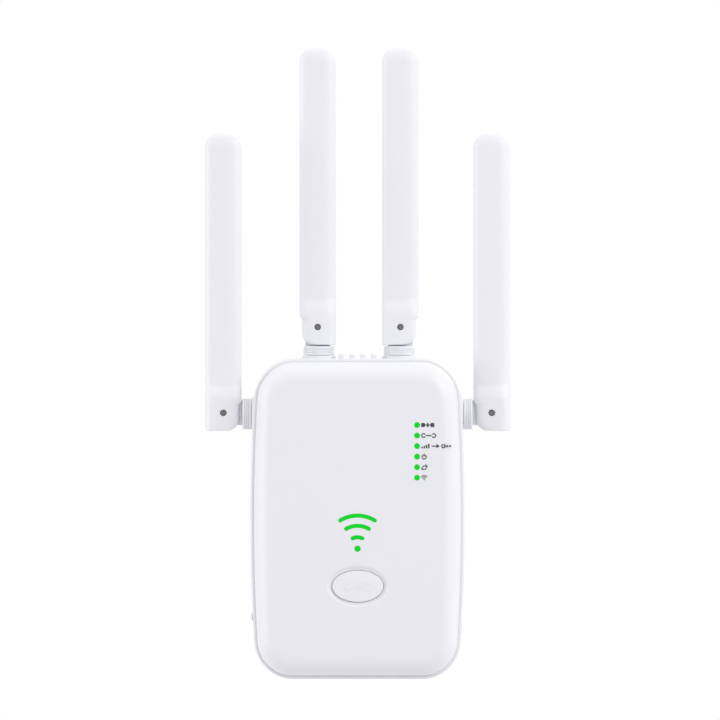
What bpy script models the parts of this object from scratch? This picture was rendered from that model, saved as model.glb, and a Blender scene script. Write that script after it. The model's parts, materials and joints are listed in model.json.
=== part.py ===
"""Plug-in Wi-Fi range extender with four folding antennas.

The wall plane is Y = 0 and the front faces -Y.  +Z is up, and the origin is the
centre of the plug's wall face.  Dimensions are millimetres, and each helper turns
them into metres.  Housing parts hang on an empty at the housing's centre, so their
coordinates are measured from there.  Each antenna hangs on an empty in its socket,
with +Z pointing out of the housing and +X to the side that the antenna folds to.
"""
import math

import bmesh
import bpy
from mathutils import Matrix, Vector

MM = 0.001
GAP = 0.3  # running clearance between neighbouring pieces
OVERRUN = 1.0  # how far a cutter runs past the face that it opens
SMOOTH_ANGLE = 30.0  # edges that turn more than this are shaded sharp

# Housing: a rounded rectangle whose long sides bulge, split at a seam.
HALF_WIDTH = 35.65
HALF_HEIGHT = 53.35
BULGE_RADIUS = 700.0
TOP_CORNER = 13.5
BOTTOM_CORNER = 12.5
CORNER_STEPS = 6
SIDE_STEPS = 6
WALL = 2.0
PLUG_RISE = 8.0  # the plug sits this far above the housing's centre
FRONT_Y = -36.0
SEAM_Y = -28.0
BACK_Y = -3.0
COVER_RIM_Y = SEAM_Y - GAP
COVER_INSET = 1.2
COVER_FILLET = 6.8
BACK_FILLET = 4.0
COVER_INNER_Y = FRONT_Y + WALL
BACK_INNER_Y = BACK_Y - WALL

# Housing screws, driven from the back into posts of the front cover.
SCREW_X = 26.5
SCREW_Z = 43.0
SCREW_RADIUS = 1.3
SCREW_HEAD_RADIUS = 2.5
SCREW_HEAD_Y = -7.0
SCREW_HEAD_HEIGHT = 1.7
SCREW_RECESS = (0.4, 2.0)  # half width and half length of each slot of the cross
SCREW_RECESS_DEPTH = 0.9
SCREW_TIP_Y = -30.0
POST_JOINT_Y = -22.0
POST_RADIUS = 4.0
COVER_POST_RADIUS = 3.0

# Main board, parallel to the front, on four pegs of the front cover.
BOARD_FRONT_Y = -25.6
BOARD_BACK_Y = -24.0
BOARD_HALF_WIDTH = 22.5
BOARD_TOP = 46.0
BOARD_BOTTOM = -50.5
PEG_X = 20.0
PEG_Z = 42.0
PEG_RADIUS = 1.1
PEG_SHOULDER_RADIUS = 2.2
PEG_OVERRUN = 1.0

# Chips on the main board's back: low and high corners in X and Z, and height.
CHIPS = (
    ("radio_shield", (-15.0, 8.0), (15.0, 34.0), 3.0, "shield"),
    ("processor", (-7.0, -12.0), (7.0, 2.0), 1.4, "black"),
    ("memory_chip", (9.5, -10.0), (15.5, -1.0), 1.2, "black"),
    ("network_transformer", (-8.0, -29.0), (8.0, -18.0), 4.0, "black"),
)

# Status lights: six light guides in a column.
STATUS_X = 19.8
STATUS_TOP = 31.2
STATUS_PITCH = 3.5
STATUS_COUNT = 6
STATUS_RADIUS = 0.92
STATUS_BAR_MARGIN = 1.8
GUIDE_THICKNESS = 1.2
LED_HEIGHT = 1.0
LED_HALF_WIDTH = 0.8
LED_HALF_LENGTH = 1.0

# Signal sign: a dot and three concentric arcs of one light guide.
SIGNAL_DOT_Z = -9.9
SIGNAL_DOT_RADIUS = 1.0
SIGNAL_STROKE = 1.4
SIGNAL_ARCS = ((3.8, 25.0), (7.6, 30.0), (11.0, 31.5))  # radius and half angle in degrees
SIGNAL_STEPS = 8
SIGNAL_PLATE_LOW = (-8.0, -12.5)
SIGNAL_PLATE_HIGH = (8.0, 3.5)
SIGNAL_LED_Z = -4.0
SIGNAL_LED_HALF_WIDTH = 1.75
SIGNAL_LED_HALF_LENGTH = 1.4
SIGNAL_LED_HEIGHT = 1.4
LIGHT_GAP = 0.2

# Button in its dish.
BUTTON_X = 0.1
BUTTON_Z = -22.4
BUTTON_HALF_WIDTH = 8.5
BUTTON_HALF_HEIGHT = 5.25
BUTTON_PROUD = 0.3
DISH_GROWTH = 1.5
DISH_DEPTH = 0.6
BUTTON_EDGE = 0.5
FLANGE_GROWTH = 1.0
BUTTON_FLANGE = 1.0
BUTTON_STEM_RADIUS = 2.0
PLUNGER_RADIUS = 1.6
PLUNGER_FRONT_Y = -31.0
SWITCH_HEIGHT = 3.4
SWITCH_HALF_WIDTH = 3.0
SWITCH_BORE_DEPTH = 1.2

# Network jacks, side by side in the bottom wall.
JACK_X = 9.5
JACK_WIDTH = 16.0
JACK_DEPTH = 13.5
JACK_LENGTH = 21.0
JACK_FACE_Z = -53.0
JACK_BACK_Y = BOARD_BACK_Y + GAP + JACK_DEPTH
JACK_MOUTH_HALF_WIDTH = 6.0
JACK_MOUTH_DEPTH = 14.0
JACK_MOUTH_HEIGHT = 7.0
JACK_MOUTH_FLOOR = 1.6
LATCH_HALF_WIDTH = 3.2
LATCH_HEIGHT = 2.6

# Mode slider in the left wall.
SLIDER_Z = -32.7
SLIDER_Y = -21.9
SLIDER_TRAVEL = 1.5
SLIDER_PROUD = 0.4
NIB_HALF_DEPTH = 1.2
NIB_HALF_LENGTH = 1.3
SLIDER_FLANGE_HALF_DEPTH = 2.6
SLIDER_FLANGE_HALF_LENGTH = 3.6
SLIDER_FLANGE_BACK = 1.6  # the flange's inner face, from the wall's inner face
ARM_HALF_DEPTH = 0.6
ARM_HALF_LENGTH = 1.0
ARM_TIP_X = -26.6
MODE_SWITCH_LEFT = -28.0
MODE_SWITCH_RIGHT = -23.5
MODE_SWITCH_DEPTH = 3.6
MODE_SWITCH_HALF_LENGTH = 4.5
BOARD_TAB_HALF_LENGTH = 5.0

# Vents: slots between ribs on the top, and two rows of slots in the back.
RIB_COUNT = 4
TOP_VENT_PITCH = 3.6
RIB_HALF_WIDTH = 0.9
RIB_RISE = 1.5
RIB_FRONT_Y = -19.0
RIB_BACK_Y = -8.0
TOP_VENT_HALF_WIDTH = 0.8
TOP_VENT_SHORTER = 1.0
BACK_VENT_COUNT = 7
BACK_VENT_PITCH = 5.2
BACK_VENT_HALF_WIDTH = 0.9
BACK_VENT_ROWS = ((27.0, 38.0), (-30.0, -16.0))

# Plug: two flat blades in a carrier that fills a window of the rear shell.
CARRIER_HALF_WIDTH = 17.0
CARRIER_HALF_HEIGHT = 13.0
CARRIER_CORNER = 5.0
CARRIER_FLANGE = 3.0
CARRIER_LIP = 1.5  # the flange's growth above and below the window
CARRIER_BACK_Y = -7.3
BLADE_X = 6.35
BLADE_THICKNESS = 1.5
BLADE_WIDTH = 6.35
BLADE_LENGTH = 17.5
BLADE_TAIL_Y = -8.0
BLADE_CHAMFER_LENGTH = 2.0
BLADE_CHAMFER_WIDTH = 1.6
BLADE_EYE_Y = 11.9
BLADE_EYE_RADIUS = 1.6

# Power supply on a second board, behind the plug carrier.
POWER_BOARD_HALF_WIDTH = 20.0
POWER_BOARD_HALF_HEIGHT = 27.0
POWER_BOARD_THICKNESS = 1.6
POWER_BOARD_BACK_Y = CARRIER_BACK_Y - 1.0
TRANSFORMER_LOW = (-9.0, -5.0)
TRANSFORMER_HIGH = (9.0, 12.0)
TRANSFORMER_HEIGHT = 9.0
CAPACITORS = (  # name, radius, length, X, Z
    ("mains_capacitor", 4.0, 8.5, -13.0, 20.0),
    ("output_capacitor", 3.2, 8.0, 13.0, -20.0),
)
FUSE_RADIUS = 1.6
FUSE_LIFT = 1.8
FUSE_ENDS_X = (10.0, 18.0)
FUSE_Z = 21.0

# Antenna, measured from its socket's face along the barrel's axis.
TOP_SOCKET_X = 13.4
TOP_PAIR_SHIFT = 0.5  # the two top sockets sit slightly right of the middle
TOP_SOCKET_Z = 54.3
TOP_SOCKET_Y = -13.0
SIDE_SOCKET_X = 35.2
SIDE_SOCKET_Z = 34.8
SIDE_SOCKET_Y = -21.0
SOCKET_RADIUS = 5.6
BARREL_RADIUS = 5.15
BARREL_LENGTH = 2.8
BARREL_EDGE = 0.4
NECK_RADIUS = 3.4
NECK_FLANGE_RADIUS = 4.4
NECK_FLANGE_Z = 4.2  # depth of the retaining flange below the socket's face
NECK_FLANGE_THICKNESS = 1.5
NECK_FLANGE_TAPER = 0.6
LEAD_BORE_RADIUS = 1.0
LEAD_RADIUS = 0.6
PIN_OFFSET = 0.4  # the pin sits off the barrel's axis, towards the fold side
PIN_OUT = GAP + BARREL_LENGTH + 6.4
PIN_RADIUS = 0.95
PIN_HALF_LENGTH = 3.4
TONGUE_THICKNESS = 3.0
TONGUE_RADIUS = 4.1
TONGUE_ROOT = 1.5  # how far the tongue is sunk into the barrel

# Paddle, measured from its pin.
PADDLE_HALF_WIDTH = 6.1
PADDLE_TIP = 93.0
PADDLE_FOOT = -6.0
CHEEK_HALF_THICKNESS = 4.0
BLADE_HALF_THICKNESS = 3.3
TIP_RADIUS = 4.4
SCOOP_START = 5.3
SCOOP_END = 9.3
FOLD_SIDE_HALF_WIDTH = 5.3
FOLD_SIDE_STEP = 2.3
FOLD_CORNER = 4.0
SLOT_REACH = 4.5
FOLD_SIDE_SLOPE = 1.2
CAVITY_HALF_WIDTH = 4.0
CAVITY_HALF_THICKNESS = 1.6
CAVITY_TOP = 89.0
RADIATOR_HALF_WIDTH = 2.8
RADIATOR_HALF_THICKNESS = 0.5
RADIATOR_ENDS = (12.0, 84.0)


def clear_scene():
    for item in list(bpy.data.objects):
        bpy.data.objects.remove(item, do_unlink=True)


def new_collection(name):
    group = bpy.data.collections.new(name)
    bpy.context.scene.collection.children.link(group)
    return group


def new_material(name, colour, roughness, metallic=0.0):
    material = bpy.data.materials.new(name)
    material.use_nodes = True
    shader = material.node_tree.nodes["Principled BSDF"]
    shader.inputs["Base Color"].default_value = (*colour, 1.0)
    shader.inputs["Roughness"].default_value = roughness
    shader.inputs["Metallic"].default_value = metallic
    material.diffuse_color = (*colour, 1.0)
    return material


clear_scene()
PARTS = new_collection("wifi_range_extender")
TOOLS = new_collection("cutters_and_guides")

COVER_WHITE = new_material("cover_white", (0.82, 0.82, 0.85), 0.32)
SHELL_WHITE = new_material("shell_white", (0.80, 0.80, 0.83), 0.42)
ANTENNA_WHITE = new_material("antenna_white", (0.83, 0.83, 0.86), 0.38)
BUTTON_WHITE = new_material("button_white", (0.84, 0.84, 0.86), 0.30)
LIGHT_GREEN = new_material("light_green", (0.03, 0.75, 0.10), 0.25)
PIN_STEEL = new_material("pin_steel", (0.35, 0.35, 0.37), 0.35, 1.0)
BLADE_BRASS = new_material("blade_brass", (0.78, 0.76, 0.70), 0.28, 1.0)
BOARD_GREEN = new_material("board_green", (0.03, 0.22, 0.10), 0.45)
SHIELD_TIN = new_material("shield_tin", (0.70, 0.71, 0.72), 0.30, 1.0)
PART_BLACK = new_material("part_black", (0.02, 0.02, 0.025), 0.45)
SLIDER_GREY = new_material("slider_grey", (0.30, 0.31, 0.33), 0.50)
COPPER = new_material("radiator_copper", (0.75, 0.38, 0.22), 0.30, 1.0)
LEAD_GREY = new_material("lead_grey", (0.25, 0.25, 0.27), 0.55)


def new_empty(name, location, parent=None):
    empty = bpy.data.objects.new(name, None)
    PARTS.objects.link(empty)
    empty.location = Vector(location) * MM
    empty.parent = parent
    return empty


HOUSING = new_empty("housing_centre", (0.0, 0.0, -PLUG_RISE))


def add_part(name, mesh, material, location=(0.0, 0.0, 0.0), parent=HOUSING):
    part = bpy.data.objects.new(name, mesh)
    mesh.materials.clear()
    mesh.materials.append(material)
    PARTS.objects.link(part)
    part.location = Vector(location) * MM
    part.parent = parent
    return part


def add_tool(mesh, location=(0.0, 0.0, 0.0), parent=HOUSING):
    tool = bpy.data.objects.new(mesh.name, mesh)
    TOOLS.objects.link(tool)
    tool.location = Vector(location) * MM
    tool.parent = parent
    tool.hide_render = True
    tool.display_type = "WIRE"
    return tool


def combine(part, tool, operation):
    modifier = part.modifiers.new(f"{operation.lower()}_{tool.name}", "BOOLEAN")
    modifier.operation = operation
    modifier.object = tool
    modifier.solver = "EXACT"


def mesh_from(bm, name):
    mesh = bpy.data.meshes.new(name)
    bm.to_mesh(mesh)
    bm.free()
    return mesh


def box_mesh(name, size, centre=(0.0, 0.0, 0.0)):
    bm = bmesh.new()
    bmesh.ops.create_cube(bm, size=1.0)
    bmesh.ops.scale(bm, verts=bm.verts, vec=Vector(size) * MM)
    bmesh.ops.translate(bm, verts=bm.verts, vec=Vector(centre) * MM)
    return mesh_from(bm, name)


def box_between(name, low, high):
    """A box from its lowest to its highest corner."""
    size = [b - a for a, b in zip(low, high)]
    centre = [(a + b) / 2 for a, b in zip(low, high)]
    return box_mesh(name, size, centre)


def rod_mesh(name, radius, start, end, sides=16):
    """A cylinder from start to end, two points in millimetres."""
    start, end = Vector(start) * MM, Vector(end) * MM
    axis = end - start
    bm = bmesh.new()
    bmesh.ops.create_cone(
        bm,
        cap_ends=True,
        segments=sides,
        radius1=radius * MM,
        radius2=radius * MM,
        depth=axis.length,
    )
    turn = axis.to_track_quat("Z", "Y").to_matrix().to_4x4()
    bmesh.ops.transform(bm, matrix=Matrix.Translation((start + end) / 2) @ turn, verts=bm.verts)
    return mesh_from(bm, name)


def depth_rod(name, radius, x, z, front_y, back_y, sides=16):
    """A cylinder along Y."""
    return rod_mesh(name, radius, (x, front_y, z), (x, back_y, z), sides)


PLANES = {
    "XY": Matrix.Identity(4),
    "XZ": Matrix.Rotation(math.radians(90.0), 4, "X"),
    "YZ": Matrix(((0, 0, 1, 0), (1, 0, 0, 0), (0, 1, 0, 0), (0, 0, 0, 1))),
}


def evaluated_mesh(item, name):
    """The object's mesh with its modifiers applied, in its own coordinates."""
    depsgraph = bpy.context.evaluated_depsgraph_get()
    mesh = bpy.data.meshes.new_from_object(item.evaluated_get(depsgraph))
    mesh.name = name
    return mesh


def plate_mesh(name, points, low, high, plane="XZ"):
    """A flat outline filled and extruded across its plane, from low to high."""
    curve = bpy.data.curves.new(name, "CURVE")
    curve.dimensions = "2D"
    curve.fill_mode = "BOTH"
    curve.extrude = (high - low) / 2 * MM
    spline = curve.splines.new("POLY")
    spline.points.add(len(points) - 1)
    for target, (across, up) in zip(spline.points, points):
        target.co = (across * MM, up * MM, 0.0, 1.0)
    spline.use_cyclic_u = True
    guide = bpy.data.objects.new(name, curve)
    TOOLS.objects.link(guide)
    bpy.context.view_layer.update()
    mesh = evaluated_mesh(guide, name)
    bpy.data.objects.remove(guide, do_unlink=True)
    bm = bmesh.new()
    bm.from_mesh(mesh)
    bpy.data.meshes.remove(mesh)
    bmesh.ops.remove_doubles(bm, verts=bm.verts, dist=0.00001)
    bmesh.ops.dissolve_limit(bm, angle_limit=0.001, verts=bm.verts, edges=bm.edges)
    bmesh.ops.recalc_face_normals(bm, faces=bm.faces)
    middle = (low + high) / 2 * MM
    normal = {"XY": (0, 0, middle), "XZ": (0, middle, 0), "YZ": (middle, 0, 0)}[plane]
    bmesh.ops.transform(bm, matrix=Matrix.Translation(normal) @ PLANES[plane], verts=bm.verts)
    return mesh_from(bm, name)


def turned_mesh(name, profile, sides):
    """A profile of (radius, height) pairs, top to bottom, turned about Z."""
    bm = bmesh.new()
    ring = [bm.verts.new((radius * MM, 0.0, height * MM)) for radius, height in profile]
    for first, second in zip(ring, ring[1:]):
        bm.edges.new((first, second))
    turned = bpy.data.objects.new(name, mesh_from(bm, name))
    TOOLS.objects.link(turned)
    screw = turned.modifiers.new("turn", "SCREW")
    screw.steps = sides
    screw.render_steps = sides
    screw.use_merge_vertices = True
    screw.merge_threshold = 0.00001
    screw.use_normal_calculate = True
    mesh = evaluated_mesh(turned, name)
    bpy.data.objects.remove(turned, do_unlink=True)
    return mesh


def finish_mesh(item):
    """Replace an object by its evaluated mesh, to share that between copies."""
    bpy.context.view_layer.update()
    mesh = evaluated_mesh(item, item.name)
    bpy.data.objects.remove(item, do_unlink=True)
    return mesh


def shade_round_pieces():
    """Apply the pieces' modifiers, and shade all but their real edges smooth."""
    bpy.context.view_layer.update()
    for part in PARTS.objects:
        if part.type != "MESH":
            continue
        if part.modifiers:
            part.data = evaluated_mesh(part, part.name)
            part.modifiers.clear()
        part.data.shade_smooth()
        part.data.set_sharp_from_angle(angle=math.radians(SMOOTH_ANGLE))


def soften(part, width, segments=2, angle=50.0):
    bevel = part.modifiers.new("soft_edges", "BEVEL")
    bevel.width = width * MM
    bevel.segments = segments
    bevel.limit_method = "ANGLE"
    bevel.angle_limit = math.radians(angle)
    bevel.use_clamp_overlap = False


def arc(centre, radius, start, end, steps):
    """Points on a circle, from one angle to another, both in radians."""
    angles = [start + (end - start) * step / steps for step in range(steps + 1)]
    return [
        (centre[0] + radius * math.cos(angle), centre[1] + radius * math.sin(angle))
        for angle in angles
    ]


def rounded_rectangle(half_width, half_height, corner, steps=4):
    points = []
    for turn in range(4):
        side_x = 1 if turn in (0, 3) else -1
        side_y = 1 if turn in (0, 1) else -1
        centre = (side_x * (half_width - corner), side_y * (half_height - corner))
        start = turn * math.pi / 2
        points += arc(centre, corner, start, start + math.pi / 2, steps)
    return points


def ellipse(half_width, half_height, steps=28):
    angles = [2 * math.pi * step / steps for step in range(steps)]
    return [(half_width * math.cos(a), half_height * math.sin(a)) for a in angles]


def shifted(points, across, up):
    return [(x + across, y + up) for x, y in points]


def housing_outline(inset):
    """The housing seen from the front, drawn in by inset, anticlockwise."""
    half_width, half_height = HALF_WIDTH - inset, HALF_HEIGHT - inset
    signs = ((1, 1), (-1, 1), (-1, -1), (1, -1))
    radii = (TOP_CORNER, TOP_CORNER, BOTTOM_CORNER, BOTTOM_CORNER)
    rounds = []
    for turn, ((side_x, side_z), radius) in enumerate(zip(signs, radii)):
        radius -= inset
        centre = (side_x * (half_width - radius), side_z * (half_height - radius))
        start = turn * math.pi / 2
        rounds.append(arc(centre, radius, start, start + math.pi / 2, CORNER_STEPS))
    points = []
    for here, after in zip(rounds, rounds[1:] + rounds[:1]):
        points += here
        (side, start), end = here[-1], after[0][1]
        if abs(end - start) > radii[0]:
            rise = (end - start) / SIDE_STEPS
            points += [(side, start + rise * step) for step in range(1, SIDE_STEPS)]
    return [(x * half_width_at(z) / HALF_WIDTH, z) for x, z in points]


def half_width_at(height):
    return HALF_WIDTH - height * height / (2 * BULGE_RADIUS)


def half_shell(name, inset, closed_y, rim_y, fillet, material):
    """One half of the housing: a filleted tray with its open side at rim_y."""
    low, high = min(closed_y, rim_y), max(closed_y, rim_y)
    slab = plate_mesh(name, housing_outline(inset), low, high)
    bm = bmesh.new()
    bm.from_mesh(slab)
    open_side = [face for face in bm.faces if abs(face.calc_center_median().y - rim_y * MM) < 0.0001]
    bmesh.ops.delete(bm, geom=open_side, context="FACES")
    bm.to_mesh(slab)
    bm.free()
    part = add_part(name, slab, material)
    soften(part, fillet, segments=5)
    solidify = part.modifiers.new("wall", "SOLIDIFY")
    solidify.thickness = WALL * MM
    solidify.offset = -1.0
    solidify.use_even_offset = True
    return part


def corners(x, z):
    return [(side_x * x, side_z * z) for side_x in (-1, 1) for side_z in (-1, 1)]


def signal_shapes(stroke_growth, front_y, back_y):
    """Solids of the signal sign: its dot and its arcs with round ends."""
    centre = (0.0, SIGNAL_DOT_Z)
    half_stroke = SIGNAL_STROKE / 2 + stroke_growth
    shapes = [
        depth_rod("signal_dot", SIGNAL_DOT_RADIUS + stroke_growth, *centre, front_y, back_y, 14)
    ]
    for number, (radius, half_angle) in enumerate(SIGNAL_ARCS, 1):
        first = math.radians(90.0 - half_angle)
        last = math.radians(90.0 + half_angle)
        ends = [
            (centre[0] + radius * math.cos(angle), centre[1] + radius * math.sin(angle))
            for angle in (first, last)
        ]
        outline = arc(centre, radius + half_stroke, first, last, SIGNAL_STEPS)
        outline += arc(ends[1], half_stroke, last, last + math.pi, 4)[1:-1]
        outline += arc(centre, radius - half_stroke, last, first, SIGNAL_STEPS)
        outline += arc(ends[0], half_stroke, first + math.pi, first + 2 * math.pi, 4)[1:-1]
        shapes.append(plate_mesh(f"signal_arc_{number}", outline, front_y, back_y))
    return shapes


def status_heights():
    return [STATUS_TOP - STATUS_PITCH * place for place in range(STATUS_COUNT)]


def build_front_cover():
    cover = half_shell(
        "front_cover", COVER_INSET, FRONT_Y, COVER_RIM_Y, COVER_FILLET, COVER_WHITE
    )
    for x, z in corners(SCREW_X, SCREW_Z):
        post = depth_rod(
            "cover_post", COVER_POST_RADIUS, x, z, COVER_INNER_Y - OVERRUN, POST_JOINT_Y - GAP
        )
        combine(cover, add_tool(post), "UNION")
        pilot = depth_rod("cover_pilot", SCREW_RADIUS + GAP, x, z, SCREW_TIP_Y - GAP, POST_JOINT_Y, 12)
        combine(cover, add_tool(pilot), "DIFFERENCE")
    for x, z in corners(PEG_X, PEG_Z):
        shoulder = depth_rod(
            "peg_shoulder", PEG_SHOULDER_RADIUS, x, z, COVER_INNER_Y - OVERRUN, BOARD_FRONT_Y - GAP, 12
        )
        peg = depth_rod(
            "peg", PEG_RADIUS, x, z, BOARD_FRONT_Y - OVERRUN, BOARD_BACK_Y + PEG_OVERRUN, 10
        )
        combine(cover, add_tool(shoulder), "UNION")
        combine(cover, add_tool(peg), "UNION")
    outside, inside = FRONT_Y - OVERRUN, COVER_INNER_Y + OVERRUN
    for shape in signal_shapes(LIGHT_GAP, outside, inside):
        combine(cover, add_tool(shape), "DIFFERENCE")
    for z in status_heights():
        hole = depth_rod("status_hole", STATUS_RADIUS + LIGHT_GAP, STATUS_X, z, outside, inside, 12)
        combine(cover, add_tool(hole), "DIFFERENCE")
    dish = shifted(
        ellipse(BUTTON_HALF_WIDTH + DISH_GROWTH, BUTTON_HALF_HEIGHT + DISH_GROWTH), BUTTON_X, BUTTON_Z
    )
    window = shifted(ellipse(BUTTON_HALF_WIDTH + GAP, BUTTON_HALF_HEIGHT + GAP), BUTTON_X, BUTTON_Z)
    dish_mesh = plate_mesh("button_dish", dish, outside, FRONT_Y + DISH_DEPTH)
    window_mesh = plate_mesh("button_window", window, outside, inside)
    combine(cover, add_tool(dish_mesh), "DIFFERENCE")
    combine(cover, add_tool(window_mesh), "DIFFERENCE")


def build_lights():
    plate_front = COVER_INNER_Y + GAP
    plate_back = plate_front + GUIDE_THICKNESS
    (left, bottom), (right, top) = SIGNAL_PLATE_LOW, SIGNAL_PLATE_HIGH
    plate = box_between(
        "signal_light_guide", (left, plate_front, bottom), (right, plate_back, top)
    )
    guide = add_part("signal_light_guide", plate, LIGHT_GREEN)
    for shape in signal_shapes(0.0, FRONT_Y, plate_front + GUIDE_THICKNESS / 2):
        combine(guide, add_tool(shape), "UNION")
    heights = status_heights()
    bar = box_between(
        "status_light_guide",
        (STATUS_X - STATUS_BAR_MARGIN, plate_front, heights[-1] - STATUS_BAR_MARGIN),
        (STATUS_X + STATUS_BAR_MARGIN, plate_back, heights[0] + STATUS_BAR_MARGIN),
    )
    column = add_part("status_light_guide", bar, LIGHT_GREEN)
    led_back = BOARD_FRONT_Y - GAP
    led_front = led_back - LED_HEIGHT
    for number, z in enumerate(heights, 1):
        post = depth_rod("status_post", STATUS_RADIUS, STATUS_X, z, FRONT_Y, led_front - GAP, 12)
        combine(column, add_tool(post), "UNION")
        led = box_between(
            f"status_led_{number}",
            (STATUS_X - LED_HALF_WIDTH, led_front, z - LED_HALF_LENGTH),
            (STATUS_X + LED_HALF_WIDTH, led_back, z + LED_HALF_LENGTH),
        )
        add_part(f"status_led_{number}", led, LIGHT_GREEN)
    signal_led = box_between(
        "signal_led",
        (-SIGNAL_LED_HALF_WIDTH, led_back - SIGNAL_LED_HEIGHT, SIGNAL_LED_Z - SIGNAL_LED_HALF_LENGTH),
        (SIGNAL_LED_HALF_WIDTH, led_back, SIGNAL_LED_Z + SIGNAL_LED_HALF_LENGTH),
    )
    add_part("signal_led", signal_led, LIGHT_GREEN)


def build_button():
    place = (BUTTON_X, 0.0, BUTTON_Z)
    flange_front = COVER_INNER_Y + GAP
    flange_middle = flange_front + BUTTON_FLANGE / 2
    cap_outline = ellipse(BUTTON_HALF_WIDTH, BUTTON_HALF_HEIGHT)
    flange_outline = ellipse(BUTTON_HALF_WIDTH + FLANGE_GROWTH, BUTTON_HALF_HEIGHT + FLANGE_GROWTH)
    cap_mesh = plate_mesh("wps_button", cap_outline, FRONT_Y - BUTTON_PROUD, flange_middle)
    cap = add_part("wps_button", cap_mesh, BUTTON_WHITE, place)
    soften(cap, BUTTON_EDGE)
    flange = plate_mesh("button_flange", flange_outline, flange_front, flange_front + BUTTON_FLANGE)
    stem = depth_rod("button_stem", BUTTON_STEM_RADIUS, 0.0, 0.0, flange_middle, PLUNGER_FRONT_Y - GAP)
    for shape in (flange, stem):
        combine(cap, add_tool(shape, place), "UNION")
    switch_back = BOARD_FRONT_Y - GAP
    switch_front = switch_back - SWITCH_HEIGHT
    half = SWITCH_HALF_WIDTH
    body_mesh = box_between("wps_switch", (-half, switch_front, -half), (half, switch_back, half))
    body = add_part("wps_switch", body_mesh, PART_BLACK, place)
    bore = depth_rod(
        "switch_bore",
        PLUNGER_RADIUS + GAP,
        0.0,
        0.0,
        switch_front - OVERRUN,
        switch_front + SWITCH_BORE_DEPTH,
    )
    combine(body, add_tool(bore, place), "DIFFERENCE")
    plunger = depth_rod(
        "wps_plunger", PLUNGER_RADIUS, 0.0, 0.0, PLUNGER_FRONT_Y, switch_front + GAP, 14
    )
    add_part("wps_plunger", plunger, SLIDER_GREY, place)


def jack_window(x, growth):
    low = (x - JACK_WIDTH / 2 - growth, BOARD_BACK_Y + GAP - growth, -HALF_HEIGHT - OVERRUN)
    high = (x + JACK_WIDTH / 2 + growth, JACK_BACK_Y + growth, -HALF_HEIGHT + BACK_FILLET + OVERRUN)
    return box_between("jack_window", low, high)


def socket_places():
    """Name, socket face, outward axis, fold side and rest fold of each antenna."""
    up, left, right = Vector((0, 0, 1)), Vector((-1, 0, 0)), Vector((1, 0, 0))
    quarter = math.radians(90.0)
    top_left = (TOP_PAIR_SHIFT - TOP_SOCKET_X, TOP_SOCKET_Y, TOP_SOCKET_Z)
    top_right = (TOP_PAIR_SHIFT + TOP_SOCKET_X, TOP_SOCKET_Y, TOP_SOCKET_Z)
    side_left = (-SIDE_SOCKET_X, SIDE_SOCKET_Y, SIDE_SOCKET_Z)
    side_right = (SIDE_SOCKET_X, SIDE_SOCKET_Y, SIDE_SOCKET_Z)
    return [
        ("top_left", top_left, up, left, 0.0),
        ("top_right", top_right, up, right, 0.0),
        ("side_left", side_left, left, up, quarter),
        ("side_right", side_right, right, up, quarter),
    ]


def cut_vents(shell):
    """Slots between ribs on the top, and two rows of slots in the back."""
    for place in range(RIB_COUNT):
        x = (place - (RIB_COUNT - 1) / 2) * TOP_VENT_PITCH
        rib = box_between(
            "vent_rib",
            (x - RIB_HALF_WIDTH, RIB_FRONT_Y, HALF_HEIGHT - WALL / 2),
            (x + RIB_HALF_WIDTH, RIB_BACK_Y, HALF_HEIGHT + RIB_RISE),
        )
        combine(shell, add_tool(rib), "UNION")
    for place in range(RIB_COUNT - 1):
        x = (place - (RIB_COUNT - 2) / 2) * TOP_VENT_PITCH
        slot = box_between(
            "top_vent",
            (x - TOP_VENT_HALF_WIDTH, RIB_FRONT_Y + TOP_VENT_SHORTER, HALF_HEIGHT - WALL - OVERRUN),
            (x + TOP_VENT_HALF_WIDTH, RIB_BACK_Y - TOP_VENT_SHORTER, HALF_HEIGHT + OVERRUN),
        )
        combine(shell, add_tool(slot), "DIFFERENCE")
    for place in range(BACK_VENT_COUNT):
        x = (place - (BACK_VENT_COUNT - 1) / 2) * BACK_VENT_PITCH
        for low, high in BACK_VENT_ROWS:
            slot = box_between(
                "back_vent",
                (x - BACK_VENT_HALF_WIDTH, BACK_INNER_Y - OVERRUN, low),
                (x + BACK_VENT_HALF_WIDTH, BACK_Y + OVERRUN, high),
            )
            combine(shell, add_tool(slot), "DIFFERENCE")


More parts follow.
